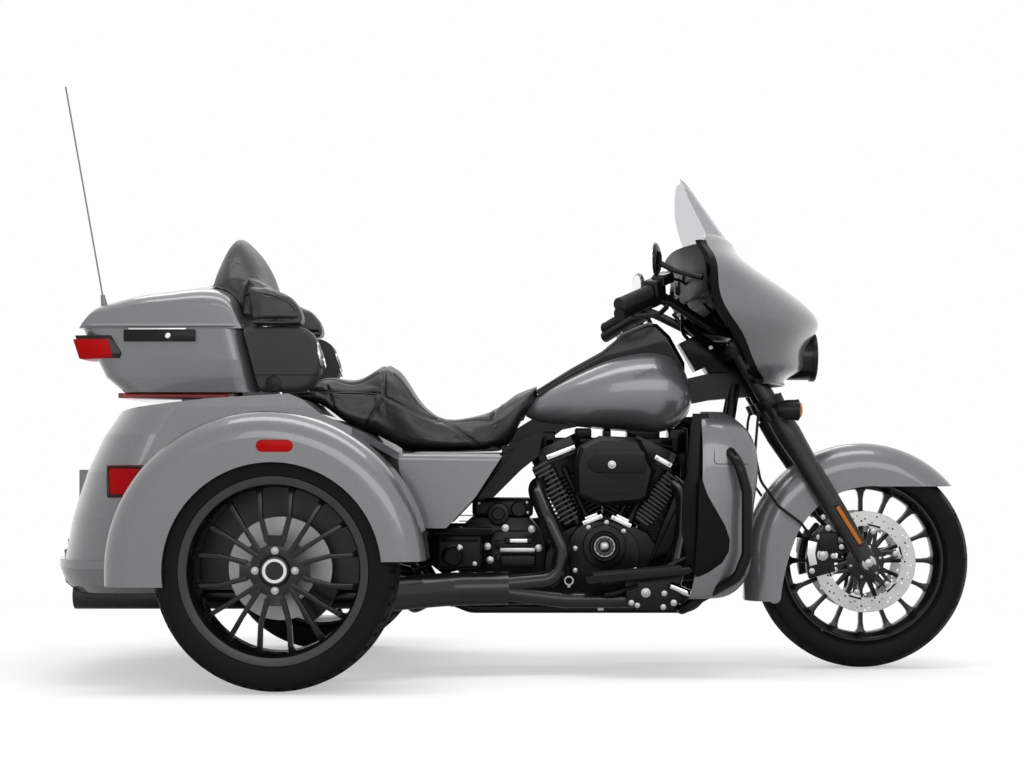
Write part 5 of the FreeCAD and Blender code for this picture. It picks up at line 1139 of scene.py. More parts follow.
engineTrim = {
    "rockers": [((0.073, -0.1015, 0.628), (0.155, -0.1015, 0.659)),
                ((0.391, -0.1015, 0.630), (0.439, -0.1015, 0.604))],
    "tappets": [((0.177, -0.150, 0.436), (0.233, -0.150, 0.458)),
                ((0.260, -0.150, 0.455), (0.316, -0.150, 0.428))],
    "finLines": [((0.050, 0.611), (0.146, 0.437)), ((0.446, 0.575), (0.348, 0.437))],
    "finCount": 14, "finHalf": 0.028,
    "gearboxBolts": [(-0.050, 0.421), (0.028, 0.418), (-0.103, 0.367), (-0.095, 0.327), (0.048, 0.362)],
    "caseBolts": [(0.154, 0.2986), (0.154, 0.3628), (0.193, 0.4244), (0.296, 0.413), (0.330, 0.300),
                  (0.246, 0.4384)],
    "airPanel": [(0.204, 0.631), (0.261, 0.637), (0.327, 0.637), (0.346, 0.631), (0.355, 0.606),
                 (0.349, 0.583), (0.212, 0.584), (0.197, 0.594), (0.191, 0.606), (0.194, 0.620)],
    "plate": [(0.292, 0.280), (0.330, 0.281), (0.452, 0.291), (0.455, 0.222), (0.432, 0.194), (0.380, 0.190),
              (0.330, 0.193), (0.300, 0.210)],
    "plateBolts": [(0.353, 0.241, 0.010), (0.406, 0.239, 0.006), (0.433, 0.212, 0.0068),
                   (0.403, 0.200, 0.006), (0.312, 0.212, 0.006), (0.329, 0.205, 0.0055)],
    "boss": (0.239, -0.176, 0.369),
    "bossRings": [
        # (radius, distance out), steps, material, closed
        ([(0, 0.0075), (0.006, 0.0075), (0.0125, 0.0055), (0.0145, 0.0035), (0.0150, -0.001), (0, -0.001)],
         40, 3, False),
        ([(0.0172, -0.001), (0.0172, 0.0035), (0.0185, 0.0045), (0.0245, 0.0045), (0.0255, 0.0030),
          (0.0255, -0.001)], 64, 2, True),
        ([(0.0262, -0.001), (0.0262, 0.0035), (0.0270, 0.0048), (0.0298, 0.0048), (0.0306, 0.0035),
          (0.0306, -0.001)], 64, 3, True),
        ([(0.0345, -0.001), (0.0345, 0.006), (0.0370, 0.0085), (0.0405, 0.0085), (0.0425, 0.006),
          (0.0430, -0.001)], 64, 1, True),
    ],
    "gearboxBlocks": [
        # low corner, high corner, edge, steps, material
        ((-0.052, -0.1415, 0.3755), (0.030, -0.128, 0.3935), 0.004, 3, 1),
        ((-0.037, -0.1435, 0.3785), (0.015, -0.138, 0.3905), 0.002, 2, 0),
        ((-0.066, -0.1400, 0.3500), (0.038, -0.128, 0.3640), 0.003, 2, 3),
        ((-0.066, -0.1420, 0.3080), (0.040, -0.128, 0.3430), 0.012, 4, 4),
        ((-0.148, -0.094, 0.4523), (0.032, 0.094, 0.5080), 0.014, 4, 1),
    ],
    "airRidges": [
        # start, end, half height, thickness, edge, material
        ((0.164, -0.2322, 0.545), (0.352, -0.2322, 0.545), 0.0022, 0.0022, 0.0008, 0),
        ((0.170, -0.2322, 0.524), (0.330, -0.2322, 0.524), 0.0016, 0.0022, 0.0008, 0),
        ((0.330, -0.2322, 0.524), (0.352, -0.2322, 0.545), 0.0016, 0.0022, 0.0008, 0),
    ],
    "boardStops": [
        ((0.130, -0.241, 0.254), (0.138, -0.150, 0.263), 0.001, 2, 1),
        ((0.217, -0.200, 0.184), (0.236, -0.188, 0.206), 0.003, 3, 1),
    ],
}


def makeEngineTrim():
    shape = bmesh.new()
    for start, end in engineTrim["rockers"]:
        addBar(shape, start, end, 0.0075, 0.008, 0.0015, 0)
        run = (Vector(end) - Vector(start)).normalized()
        addBar(shape, Vector(start) + Vector((0, -0.002, -0.016)), Vector(end) + Vector((0, -0.002, -0.016)),
               0.004, 0.006, 0.001, 1)
        for place in (Vector(start) + run * 0.008, Vector(end) - run * 0.008):
            addBolt(shape, place + right * 0.008, right, 0.004, 0.004, 3)
    for start, end in engineTrim["tappets"]:
        start, end = Vector(start), Vector(end)
        addBar(shape, start, end, 0.0065, 0.016, 0.0015, 0)
        middle = (start + end) / 2
        lift = (end - start).cross(right).normalized()
        lift = lift if lift.z > 0 else -lift
        addBar(shape, middle + (start - middle) * 0.62 + lift * 0.010,
               middle + (end - middle) * 0.62 + lift * 0.010, 0.0042, 0.012, 0.001, 0)
        for share in (0.12, 0.88):
            addBolt(shape, start + (end - start) * share + right * 0.016, right, 0.0036, 0.004, 3)
    count = engineTrim["finCount"]
    for low, high in engineTrim["finLines"]:
        run = Vector((high[0] - low[0], 0, high[1] - low[1]))
        across = Vector((run.z, 0, -run.x)).normalized()
        for number in range(count):
            middle = Vector((low[0], -0.108, low[1])) + run * (number + 0.5) / count
            half = engineTrim["finHalf"] * (0.80 if number in (0, count - 1) else 1.0)
            addBar(shape, middle - across * half, middle + across * half, 0.0024, 0.020, 0.0012, 2)
        addBar(shape, Vector((low[0], -0.100, low[1])), Vector((high[0], -0.100, high[1])), 0.024, 0.010,
               0.002, 1)
    boss = Vector(engineTrim["boss"])
    for profile, steps, material, closed in engineTrim["bossRings"]:
        addTurned(shape, profile, boss, right, steps, material, closed)
    for direction, across in around(12):
        addBar(shape, boss + right * 0.004 + direction * 0.0195, boss + right * 0.004 + direction * 0.0292,
               0.0012, 0.0012, 0.0003, 1)
    for x, z in engineTrim["caseBolts"]:
        addBolt(shape, (x, -0.1515, z), right, 0.0052, 0.006, 3, 6, 0.0072)
    for x, z in engineTrim["gearboxBolts"]:
        addBolt(shape, (x, -0.1215, z), right, 0.0085, 0.007, 3, 6, 0.0108)
    for row in engineTrim["gearboxBlocks"]:
        addBlock(shape, *row)
    addTurned(shape, [(0, 0.034), (0.016, 0.034), (0.0185, 0.031), (0.019, 0.027), (0.030, 0.025),
                      (0.0325, 0.021), (0.0330, 0.0), (0, 0.0)], (-0.070, -0.0935, 0.463), right, 48, 4)
    addTurned(shape, [(0, 0.012), (0.020, 0.012), (0.024, 0.008), (0.024, 0.0), (0, 0.0)],
              (-0.010, -0.0935, 0.476), right, 32, 1)
    for x, z in ((-0.128, 0.494), (0.014, 0.496), (0.016, 0.466)):
        addBolt(shape, (x, -0.0935, z), right, 0.0045, 0.005, 3)
    for turn, z in ((0, 0.4560), (1, 0.4490), (2, 0.4420)):
        addBlock(shape, (-0.186, -0.0972, z - 0.010 * turn),
                 (-0.140 + 0.004 * turn, -0.094, z + 0.003 - 0.010 * turn), 0.001, 2, 1)
    setPiece("engineTrim", shape, ["machined", "engine", "darkMetal", "steel", "satin"], "chassis",
             sharp=32)

    cover = bmesh.new()
    addPlate(cover, engineTrim["airPanel"], -0.2362, -0.0042, 0.0022, 3, 0, False)
    addBolt(cover, (0.2575, -0.2404, 0.607), right, 0.0078, 0.0035, 1, 6, 0.0115)
    for row in engineTrim["airRidges"]:
        addBar(cover, *row)
    setPiece("airCleanerPanel", cover, ["plastic", "steel"], "chassis", sharp=36)

    lower = bmesh.new()
    addPlate(lower, engineTrim["plate"], -0.2560, -0.006, 0.0015, 2, 0)
    for x, z, radius in engineTrim["plateBolts"]:
        addBolt(lower, (x, -0.2618, z), right, radius, radius * 0.8, 1, 6, radius * 1.35)
    addTube(lower, [(0.425, -0.268, 0.262), (0.446, -0.272, 0.254), (0.466, -0.276, 0.244),
                    (0.486, -0.274, 0.238), (0.500, -0.266, 0.236)], 0.0115, 2, 4)
    addTube(lower, [(0.330, -0.264, 0.262), (0.290, -0.264, 0.250), (0.262, -0.262, 0.238),
                    (0.236, -0.260, 0.236)], 0.0065, 0, 3)
    addTurned(lower, [(0.010, -0.005), (0.0135, -0.005), (0.0135, 0.005), (0.010, 0.005)],
              (0.134, -0.236, 0.274), (0, 1, 0), 24, 1, closed=True)
    for row in engineTrim["boardStops"]:
        addBlock(lower, *row)
    mirrorAll(lower)
    setPiece("boardBrackets", lower, ["frame", "steel", "chrome"], "chassis")


makeEngineTrim()


# Brackets, liners and shrouds beside the engine

chassisTrim = {
    "wedge": [(-0.057, 0.641), (-0.030, 0.636), (-0.086, 0.520), (-0.120, 0.500), (-0.140, 0.508)],
    "tray": [(-0.279, 0.4255), (-0.279, 0.416), (-0.246, 0.404), (-0.120, 0.402), (-0.091, 0.412),
             (-0.091, 0.4255)],
    "liner": [(0.470, 0.300), (0.452, 0.420), (0.456, 0.540), (0.468, 0.590), (0.474, 0.690), (0.484, 0.752),
              (0.528, 0.752), (0.536, 0.640), (0.534, 0.300)],
    "shroud": [(0.362, 0.290), (0.404, 0.412), (0.440, 0.500), (0.466, 0.560), (0.505, 0.560), (0.520, 0.420),
               (0.520, 0.270), (0.420, 0.262)],
    "ribs": [((0.380, -0.119, 0.330), (0.470, -0.119, 0.520)),
             ((0.410, -0.119, 0.300), (0.500, -0.119, 0.470)),
             ((0.450, -0.119, 0.285), (0.512, -0.119, 0.390))],
    "boxes": [
        ((-0.246, -0.200, 0.306), (-0.118, -0.140, 0.4045), 0.009, 3, 1),
        ((-0.236, -0.2035, 0.384), (-0.128, -0.199, 0.397), 0.0015, 2, 0),
    ],
    "bolts": [
        ((-0.182, -0.2035, 0.366), right, 0.007, 0.006, 2, 6, 0.010),
        ((-0.138, -0.200, 0.320), right, 0.005, 0.006, 2, 6, 0.007),
    ],
}


def makeChassisTrim():
    shape = bmesh.new()
    addPlate(shape, chassisTrim["wedge"], -0.1500, -0.018)
    addPlate(shape, chassisTrim["tray"], -0.1520, -0.056)
    for row in chassisTrim["boxes"]:
        addBlock(shape, *row)
    addTurned(shape, [(0, 0.010), (0.024, 0.010), (0.028, 0.006), (0.0345, 0.005), (0.0345, -0.004),
                      (0, -0.004)], (-0.199, -0.200, 0.342), right, 40, 0)
    for row in chassisTrim["bolts"]:
        addBolt(shape, *row)
    addTube(shape, [(-0.250, -0.170, 0.330), (-0.272, -0.172, 0.316), (-0.292, -0.176, 0.306),
                    (-0.312, -0.180, 0.302)], 0.008, 0, 3)
    addPlate(shape, chassisTrim["liner"], -0.300, 0.010)
    addPlate(shape, chassisTrim["shroud"], -0.118, 0.008)
    for start, end in chassisTrim["ribs"]:
        addBar(shape, start, end, 0.003, 0.005, 0.0015, 0)
    mirrorAll(shape)
    setPiece("sideBrackets", shape, ["innerBlack", "plastic", "steel"], "chassis")


makeChassisTrim()
print("engine and chassis trim made")


# Lamps

lamps = {
    "signalRings": [
        # (radius, distance forward), material, closed
        ([(0, 0), (0.012, 0.0), (0.020, 0.004), (0.026, 0.016), (0.0295, 0.034), (0.0300, 0.060),
          (0.0300, 0.064), (0.0270, 0.064), (0.0260, 0.050), (0, 0.046)], 0, False),
        ([(0.0301, 0.060), (0.0312, 0.061), (0.0312, 0.066), (0.0290, 0.068), (0.0272, 0.066),
          (0.0272, 0.060)], 1, True),
        ([(0, 0.078), (0.010, 0.0775), (0.020, 0.0745), (0.0262, 0.068), (0.0270, 0.060), (0, 0.058)],
         2, False),
    ],
    "reflector": ((0.917, -0.1462, 0.489), (0.990, -0.1462, 0.372)),
    "tailRim": [(-1.1295, 0.601), (-1.105, 0.601), (-1.080, 0.601), (-1.056, 0.601), (-1.034, 0.601),
                (-1.045, 0.561), (-1.057, 0.522), (-1.080, 0.522), (-1.103, 0.522), (-1.1255, 0.522),
                (-1.128, 0.561)],
    "cornerLens": [(-1.2754, 0.9635), (-1.1733, 0.9635), (-1.1628, 0.9116), (-1.2400, 0.9065),
                   (-1.2573, 0.9075)],
    "cornerFrame": [(-1.2703, 0.9746), (-1.1679, 0.9746), (-1.1389, 0.9247), (-1.1443, 0.9100),
                    (-1.2500, 0.9095)],
}


def makeFrontLamps():
    shape = bmesh.new()
    forward = Vector((1, 0, 0))
    centre = Vector((0.768, 0, 0.930))
    addTurned(shape, [(0, 0), (0.052, 0), (0.066, 0.012), (0.0695, 0.030), (0.0695, 0.094), (0.0660, 0.0945),
                      (0.0625, 0.090), (0.050, 0.050), (0.018, 0.030), (0, 0.030)], centre, forward, 72, 0)
    shape.faces.ensure_lookup_table()
    for face in shape.faces:
        place = face.calc_center_median() - centre
        if place.x > 0.0295 and math.hypot(place.y, place.z) < 0.0655:
            face.material_index = 1
    addTurned(shape, [(0.0665, 0.0935), (0.0735, 0.0935), (0.0740, 0.098), (0.0735, 0.107), (0.0700, 0.1098),
                      (0.0650, 0.1085), (0.0635, 0.103)], centre, forward, 72, 2, closed=True)
    addTurned(shape, [(0, 0.074), (0.010, 0.072), (0.012, 0.064), (0.012, 0.030), (0, 0.030)], centre,
              forward, 24, 1)
    setPiece("headlamp", shape, ["gloss", "chrome", "satin"], "fork", ["front_lamps"])
    glass = bmesh.new()
    addTurned(glass, [(0, 0.1100), (0.020, 0.1092), (0.040, 0.1068), (0.056, 0.1030), (0.0632, 0.0995),
                      (0.0632, 0.0965), (0.055, 0.0998), (0.040, 0.1035), (0.020, 0.1060), (0, 0.1068)], centre,
              forward, 64, 0)
    setPiece("headlampLens", glass, ["clear"], "fork")

    pods = bmesh.new()
    addTube(pods, [(0.7907, -0.172, 0.772), (0.7907, -0.06, 0.772), (0.7907, 0.06, 0.772),
                   (0.7907, 0.172, 0.772)], 0.009, 0, 4)
    for side in (-1, 1):
        foot = Vector((0.732, side * 0.200, 0.765))
        for profile, material, closed in lamps["signalRings"]:
            addTurned(pods, profile, foot, forward, 40, material, closed)
    setPiece("frontSignals", pods, ["satin", "gloss", "amber"], "fork")

    strip = bmesh.new()
    start, end = lamps["reflector"]
    addBar(strip, start, end, 0.0078, 0.005, 0.002, 0)
    run = (Vector(end) - Vector(start)).normalized()
    addBar(strip, Vector(start) + run * 0.005 + Vector((0, -0.004, 0)), Vector(end) - run * 0.005
           + Vector((0, -0.004, 0)), 0.0058, 0.003, 0.0012, 1)
    mirrorAll(strip)
    setPiece("legReflectors", strip, ["satin", "amber"], "fork")


def surfacePoints(node, line, side, lift):
    # points on the right or left skin of a node, a little proud of it
    tree = treeOf(node)
    points = []
    for x, z in line:
        hit = tree.ray_cast(Vector((x, side * 1.0, z)), Vector((0, -side, 0)))[0]
        if hit:
            points.append(hit + Vector((0, side * lift, 0)))
    return points


def makeRearLamps():
    shape = mergedCopy("rear_lamps")
    high = [vert for vert in shape.verts if vert.co.z > 0.88]
    bmesh.ops.delete(shape, geom=high, context="VERTS")
    edges = [edge for edge in shape.edges if len(edge.link_faces) == 2 and edge.calc_face_angle(0) > 0.6]
    roundEdges(shape, edges, 0.0015, 2)
    for face in shape.faces:
        if face.calc_center_median().z > 0.78:
            face.material_index = 1
    old = set(shape.faces)
    addPlate(shape, lamps["cornerLens"], -0.2985, 0.140, 0.005, 3, 0)
    addPlate(shape, lamps["cornerFrame"], -0.2950, 0.145, 0.004, 2, 2)
    fresh = [face for face in shape.faces if face not in old]
    made = bmesh.ops.duplicate(shape, geom=fresh)
    verts = kindOf(made, bmesh.types.BMVert)
    bmesh.ops.scale(shape, verts=verts, vec=(1, -1, 1))
    for side in (-1, 1):
        addBar(shape, (-1.150, side * 0.2145, 0.8065), (-0.846, side * 0.2145, 0.8065), 0.0040, 0.003,
               0.0012, 3, (0, side, 0))
        rim = surfacePoints("rear_lamps", lamps["tailRim"], side, 0.0)
        addTube(shape, rim, 0.0045, 2, 3, closed=True, order=2)
    setPiece("rearLenses", shape, ["red", "darkRed", "gloss", "brightRed"], "chassis", ["rear_lamps"])


makeFrontLamps()
makeRearLamps()
print("lamps made")


# Controls, gauges and mirrors

controls = {
    "gripStart": (0.362, -0.304, 1.108), "gripEnd": (0.268, -0.432, 1.083), "fallsFrom": 0.25,
    "fallsBy": 0.036,
    "dials": [(0.4655, -0.098, 1.152, 0.048), (0.4655, 0.098, 1.152, 0.048), (0.4715, -0.205, 1.160, 0.028),
              (0.4715, 0.205, 1.160, 0.028)],
}


def lowerEnds(shape):
    # lets the outer ends of the bar fall as the photograph shows
    for vert in shape.verts:
        share = (abs(vert.co.y) - controls["fallsFrom"]) / (0.432 - controls["fallsFrom"])
        vert.co.z -= controls["fallsBy"] * max(0.0, min(1.1, share))


def makeControls():
    bar = mergedCopy("handlebar")
    lowerEnds(bar)
    setPiece("sweptBar", bar, ["satin"], "fork", ["handlebar"])
    shape = bmesh.new()
    start, end = Vector(controls["gripStart"]), Vector(controls["gripEnd"])
    along = (end - start).normalized()
    length = (end - start).length
    profile = [(0, 0.004), (0.0185, 0.004)]
    ribs = 12
    for number in range(ribs):
        low = 0.008 + (length - 0.020) * number / ribs
        high = 0.008 + (length - 0.020) * (number + 0.72) / ribs
        profile += [(0.0185, low), (0.0200, low + 0.001), (0.0200, high - 0.001), (0.0185, high)]
    profile += [(0.0185, length - 0.010), (0.0205, length - 0.009), (0.0210, length - 0.004),
                (0.0190, length - 0.0005), (0, length - 0.0005)]
    addTurned(shape, profile, start, along, 36, 0)
    turn = along.to_track_quat("X", "Z").to_matrix().to_4x4()
    pod = start - along * 0.026
    addBlock(shape, pod - Vector((0.026, 0.024, 0.030)), pod + Vector((0.026, 0.024, 0.030)), 0.008, 3, 1,
             turn)
    for shift, tall in ((-0.012, 0.007), (0.006, 0.007)):
        place = pod + Vector((-0.020, 0, 0)) + along * shift + Vector((0, 0, -0.004))
        addBlock(shape, place - Vector((0.010, 0.005, tall)), place + Vector((0.010, 0.005, tall)), 0.002, 2,
                 2, turn)
    tank = pod + Vector((0.024, 0.012, 0.030))
    addBlock(shape, tank - Vector((0.030, 0.022, 0.016)), tank + Vector((0.030, 0.022, 0.012)), 0.006, 3, 1,
             turn)
    addBlock(shape, tank + Vector((-0.027, -0.019, 0.0115)), tank + Vector((0.027, 0.019, 0.0150)), 0.0015,
             2, 3, turn)
    for shift in (-0.020, 0.020):
        addBolt(shape, tank + along * shift + Vector((0, 0, 0.0145)), (0, 0, 1), 0.0028, 0.0020, 4, 8)
    addTube(shape, [tank + Vector((0.030, 0.010, -0.002)), tank + Vector((0.062, 0.024, -0.010)),
                    tank + Vector((0.104, 0.070, -0.044)), tank + Vector((0.150, 0.120, -0.090)),
                    tank + Vector((0.190, 0.170, -0.120))], 0.0042, 1, 3)
    lowerEnds(shape)
    mirrorAll(shape)
    setPiece("gripsAndControls", shape, ["grip", "satin", "plastic", "gloss", "steel"], "fork")

    dash = bmesh.new()
    rear = Vector((-1, 0, 0.16)).normalized()
    for x, y, z, radius in controls["dials"]:
        centre = Vector((x, y, z))
        addTurned(dash, [(radius - 0.004, -0.010), (radius, -0.010), (radius, 0.006),
                         (radius - 0.0015, 0.0085),
                         (radius - 0.004, 0.0070), (radius - 0.005, 0.002), (radius - 0.005, -0.008)],
                         centre, rear, 48, 1, closed=True)
        addTurned(dash, [(0, 0.0005), (radius - 0.0045, 0.0005), (radius - 0.0045, -0.010), (0, -0.010)],
                  centre, rear, 48, 0)
        side = rear.orthogonal().normalized()
        other = rear.cross(side)
        for number in range(13):
            turn = math.radians(-135 + number * 22.5) + math.pi / 2
            direction = side * math.cos(turn) + other * math.sin(turn)
            addBar(dash, centre + rear * 0.0005 + direction * (radius - 0.013),
                   centre + rear * 0.0005 + direction
                   * (radius - 0.007), 0.0009, 0.0008, 0.0002, 2, rear)
        direction = side * 0.8 + other * 0.6
        addBar(dash, centre + rear * 0.001, centre + rear * 0.001 + direction * (radius - 0.014), 0.0013,
               0.0015, 0.0003, 3, rear)
        addBolt(dash, centre + rear * 0.001, rear, 0.004, 0.003, 1, 16)
    addBlock(dash, (0.4600, -0.062, 1.072), (0.4720, 0.062, 1.120), 0.004, 3, 0)
    for y in (-0.078, 0.078):
        addTurned(dash, [(0, 0.014), (0.009, 0.014), (0.0105, 0.012), (0.0110, 0.0), (0, 0.0)],
                  (0.4700, y, 1.090), (-1, 0, 0), 24, 1)
    setPiece("gauges", dash, ["dial", "gloss", "mirrorGlass", "red"], "fork")

    glass = bmesh.new()
    for side in (-1, 1):
        turn = Matrix.Translation((0.3672, side * 0.392, 1.178)) @ Matrix.Rotation(math.radians(8 * side), 4,
                                                                                   "Z")
        made = bmesh.ops.create_circle(glass, cap_ends=True, segments=48, radius=1)
        flatten = turn @ Matrix.Rotation(math.radians(90), 4, "Y") @ Matrix.Diagonal((0.040, 0.072, 1, 1))
        bmesh.ops.transform(glass, matrix=flatten, verts=made["verts"])
    bmesh.ops.solidify(glass, geom=glass.faces[:], thickness=0.0008)
    setPiece("mirrorGlasses", glass, ["mirrorGlass"], "fork")


makeControls()
print("controls made")


# Brakes, pack and body trim

trim = {
    "caliperBolts": [(0.884, 0.341, 0.0125), (0.901, 0.421, 0.007), (0.887, 0.453, 0.006),
                     (0.940, 0.365, 0.006), (0.875, 0.394, 0.007), (0.853, 0.294, 0.0065),
                     (0.916, 0.338, 0.006)],
    "insert": [(0.842, 0.384), (0.868, 0.378), (0.862, 0.345), (0.868, 0.314), (0.846, 0.308),
               (0.838, 0.345)],
    "tankLine": [(0.271, 0.720), (0.318, 0.722), (0.361, 0.726), (0.405, 0.735), (0.444, 0.751),
                 (0.466, 0.775), (0.475, 0.806), (0.476, 0.850), (0.469, 0.885), (0.460, 0.908)],
    "doorLine": [(0.5523, 0.742), (0.5489, 0.718), (0.5447, 0.676), (0.5391, 0.628), (0.5396, 0.612),
                 (0.5480, 0.6085), (0.5700, 0.6085), (0.6100, 0.6085), (0.6350, 0.6085)],
    "speakerLine": (-0.770, -0.574),
}


def makeTrim():
    brakes = bmesh.new()
    for x, z, radius in trim["caliperBolts"]:
        addBolt(brakes, (x, -0.1058, z), right, radius, radius * 0.7, 1, 6, radius * 1.3)
    addPlate(brakes, trim["insert"], -0.1060, -0.003, 0.0012, 2, 2)
    addBlock(brakes, (0.872, -0.1115, 0.352), (0.930, -0.1045, 0.408), 0.004, 3, 0)
    addTurned(brakes, [(0, 0.007), (0.010, 0.007), (0.013, 0.005), (0.020, 0.004), (0.0215, 0.002),
                       (0.0215, 0), (0, 0)], (1.015, -0.1352, 0.3195), right, 40, 1)
    mirrorAll(brakes)
    setPiece("brakeTrim", brakes, ["satin", "steel", "machined"], "fork")

    pack = bmesh.new()
    addBlock(pack, (-1.116, -0.3052, 0.9895), (-0.952, -0.2985, 0.9945), 0.0015, 2, 1)
    addTurned(pack, [(0, 0.005), (0.006, 0.005), (0.0085, 0.003), (0.0095, 0), (0, 0)],
              (-1.004, -0.3030, 0.972), right, 28, 1)
    addBar(pack, (-1.120, -0.3030, 0.961), (-0.940, -0.3030, 0.961), 0.0016, 0.002, 0.0006, 0)
    first, last = trim["speakerLine"]
    points = [(first + (last - first) * share, -0.2918, 0.862) for share in (0, 0.33, 0.66, 0.97)]
    addTube(pack, points, 0.0012, 2, 2)
    addTurned(pack, [(0, 0.002), (0.020, 0.002), (0.024, 0.0005), (0.024, -0.002), (0, -0.002)],
              (-0.707, -0.2920, 0.8365), right, 36, 0)
    out = Vector((0.93, 0, 0.30)).normalized()
    centre = Vector((-0.5795, -0.249, 0.9200))
    addTurned(pack, [(0.031, -0.004), (0.031, 0.004), (0.033, 0.0065), (0.037, 0.0065), (0.0395, 0.004),
                     (0.0395, -0.004)], centre, out, 48, 3, closed=True)
    addTurned(pack, [(0, 0.0030), (0.016, 0.0035), (0.0312, 0.0015), (0.0312, -0.004), (0, -0.004)], centre,
              out, 40, 0)
    mirrorAll(pack)
    setPiece("packTrim", pack, ["satin", "machined", "gloss", "chrome"], "chassis")

    lines = bmesh.new()
    for side in (-1, 1):
        addTube(lines, surfacePoints("fuel_tank", trim["tankLine"], side, 0.0002), 0.0009, 0, 2)
        addTube(lines, surfacePoints("lower_fairings", trim["doorLine"], side, 0.0002), 0.0011, 0, 2)
    setPiece("seamLines", lines, ["satin"], "chassis")

    pads = bmesh.new()
    for number in range(7):
        y = -0.328 + number * 0.0155
        addBar(pads, (0.200, y, 0.2942), (0.450, y, 0.3175), 0.0042, 0.0085, 0.0016, 0)
    mirrorAll(pads)
    setPiece("boardPads", pads, ["grip"], "chassis")


makeTrim()
print("trim made")


# Dark fillers and small body pieces

fillers = {
    "neckCowl": [(0.4688, 0.9687), (0.5283, 0.9984), (0.6115, 0.9508), (0.6440, 0.8820), (0.5550, 0.8795),
                 (0.5430, 0.8970), (0.5170, 0.8855)],
    "neckHoses": [
        # start, end, how far the middle falls back
        ((0.470, -0.20, 1.075), (0.545, -0.05, 0.960), 0.005),
        ((0.470, -0.12, 1.050), (0.520, 0.02, 0.965), 0.02),
        ((0.470, 0.20, 1.075), (0.560, 0.05, 0.970), 0.005),
    ],
    "coil": [((0.066, -0.050, 0.610), (0.452, 0.050, 0.688)), ((0.157, -0.050, 0.680), (0.206, 0.050, 0.716)),
             ((0.240, -0.046, 0.680), (0.264, 0.046, 0.712)), ((0.312, -0.050, 0.680), (0.409, 0.050, 0.714)),
             ((0.045, -0.050, 0.640), (0.098, 0.050, 0.706)),
             ((0.436, -0.050, 0.640), (0.492, 0.050, 0.716))],
    "cooler": [(0.330, 0.500), (0.372, 0.600), (0.470, 0.610), (0.474, 0.300), (0.400, 0.290),
               (0.350, 0.400)],
    "pivotPlate": [(-0.288, 0.400), (-0.180, 0.405), (-0.176, 0.300), (-0.232, 0.286), (-0.288, 0.330)],
    "seatPan": [(-0.620, 0.800), (-0.582, 0.786), (-0.520, 0.742), (-0.440, 0.700), (-0.440, 0.730),
                (-0.500, 0.776), (-0.600, 0.812)],
    "shoulder": [(-0.4110, 0.6900), (-0.3560, 0.6620), (-0.3400, 0.6520), (-0.3400, 0.5500),
                 (-0.3588, 0.6144), (-0.3816, 0.6485)],
    "legInsert": [
        # height, left edge, right edge
        (0.5637, 0.4980, 0.5060), (0.5244, 0.4955, 0.5194), (0.4991, 0.4950, 0.5329),
        (0.4767, 0.4945, 0.5464),
        (0.4346, 0.4935, 0.5705), (0.3953, 0.4905, 0.5840), (0.3630, 0.4880, 0.5812),
        (0.3307, 0.4860, 0.5624),
        (0.3040, 0.4850, 0.5245), (0.2914, 0.4850, 0.4964),
    ],
}


def skinPatch(shape, node, rows, side, lift, thick, columns=8):
    # a thin sheet that follows a node's side between the edges that each row gives
    tree = treeOf(node)
    rings = []
    depth = 0.35
    for z, left, right in rows:
        ring = []
        for column in range(columns, -1, -1):
            x = left + (right - left) * column / columns
            hit = tree.ray_cast(Vector((x, side * 1.0, z)), Vector((0, -side, 0)))[0]
            if hit and abs(abs(hit.y) - depth) < 0.03:
                depth = abs(hit.y)
            ring.append(Vector((x, side * (depth + lift), z)))
        rings.append(ring)
    addLoft(shape, rings, closed=False, caps=False)
    bmesh.ops.recalc_face_normals(shape, faces=shape.faces)
    bmesh.ops.solidify(shape, geom=shape.faces[:], thickness=thick)


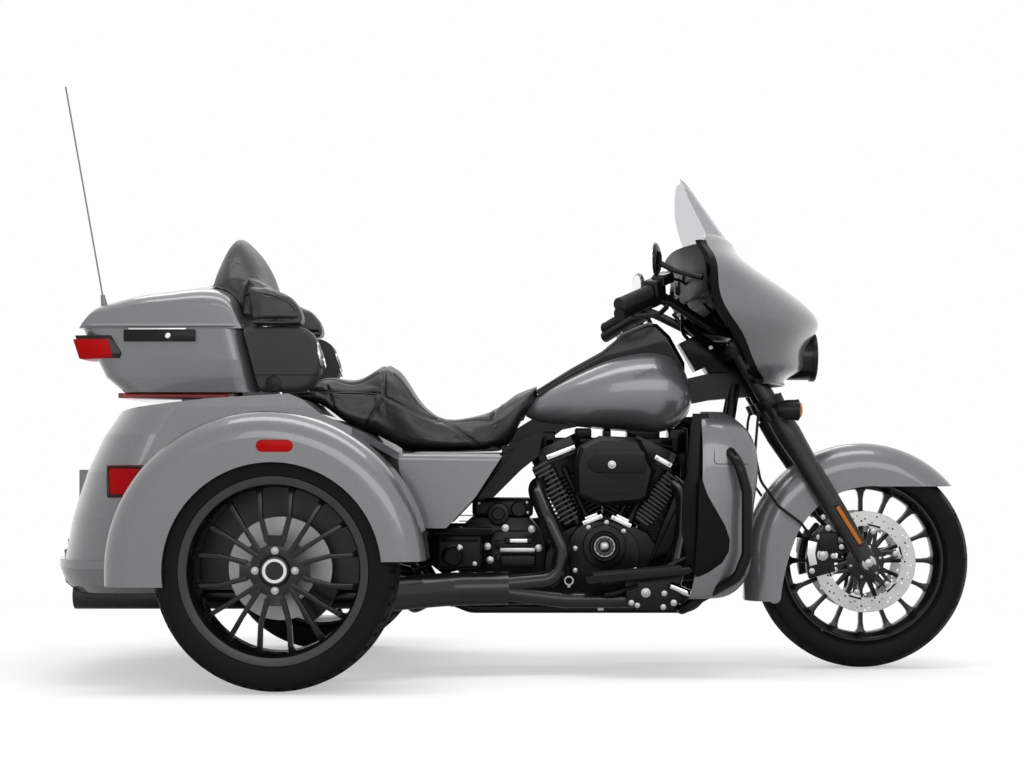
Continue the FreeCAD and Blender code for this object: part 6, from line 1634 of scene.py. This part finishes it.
def makeFillers():
    cowl = bmesh.new()
    addPlate(cowl, fillers["neckCowl"], -0.055, 0.110)
    addTurned(cowl, [(0, 0.003), (0.006, 0.003), (0.007, 0.001), (0.007, 0), (0, 0)], (0.560, -0.055, 0.955),
              (0, -1, 0), 24, 1)
    for start, end, bend in fillers["neckHoses"]:
        start, end = Vector(start), Vector(end)
        middle = (start + end) / 2 + Vector((-bend, 0, -bend * 0.4))
        addTube(cowl, [start, start * 0.6 + middle * 0.4, middle, end * 0.6 + middle * 0.4, end], 0.0055, 0,
                3)
    setPiece("neckCowl", cowl, ["innerBlack", "steel"], "fork")

    shape = bmesh.new()
    for low, high in fillers["coil"]:
        addBlock(shape, low, high, 0.006, 3, 0)
    for y, z in ((-0.053, 0.672), (-0.056, 0.655)):
        addTube(shape, [(0.070, y, z - 0.012), (0.140, y, z), (0.260, y - 0.004, z + 0.006), (0.380, y, z),
                        (0.448, y, z - 0.014)], 0.005, 1, 3)
    addPlate(shape, fillers["cooler"], -0.072, 0.144, 0.006, 2, 0)
    for number in range(9):
        z = 0.330 + number * 0.028
        addBar(shape, (0.372 if z < 0.5 else 0.385, -0.072, z), (0.468, -0.072, z), 0.003, 0.004, 0.001, 1)
    addPlate(shape, fillers["pivotPlate"], -0.135, 0.016)
    addBolt(shape, (-0.212, -0.135, 0.372), (0, -1, 0), 0.009, 0.007, 2, 6, 0.012)
    addPlate(shape, fillers["pivotPlate"], 0.135, -0.016)
    addPlate(shape, fillers["seatPan"], -0.120, 0.240)
    setPiece("hiddenBrackets", shape, ["innerBlack", "plastic", "steel"], "chassis")

    joins = bmesh.new()
    addPlate(joins, fillers["shoulder"], -0.2865, 0.050, 0.004, 3, 0)
    mirrorAll(joins)
    setPiece("coverShoulders", joins, ["paint"], "chassis", sharp=50)

    for side, word in ((-1, "Right"), (1, "Left")):
        inner = bmesh.new()
        skinPatch(inner, "lower_fairings", fillers["legInsert"], side, 0.0012, 0.0020)
        setPiece("legInsert" + word, inner, ["innerBlack"], "chassis", sharp=50)

    lip = bmesh.new()
    source = mergedCopy("pack_lid")
    tree = BVHTree.FromBMesh(source)
    source.free()
    ring = []
    middle = Vector((-1.03, 0, 1.002))
    for number in range(72):
        turn = math.radians(28) + number * math.radians(304) / 71
        direction = Vector((math.cos(turn), math.sin(turn), 0))
        hit = tree.ray_cast(middle + direction * 0.8, -direction)[0]
        if hit and hit.x < -0.795:
            ring.append(hit - direction * 0.0015)
    addTube(lip, ring, 0.0058, 0, 4)
    setPiece("lidLip", lip, ["paint"], "lid")


makeFillers()
print("fillers and body pieces made")
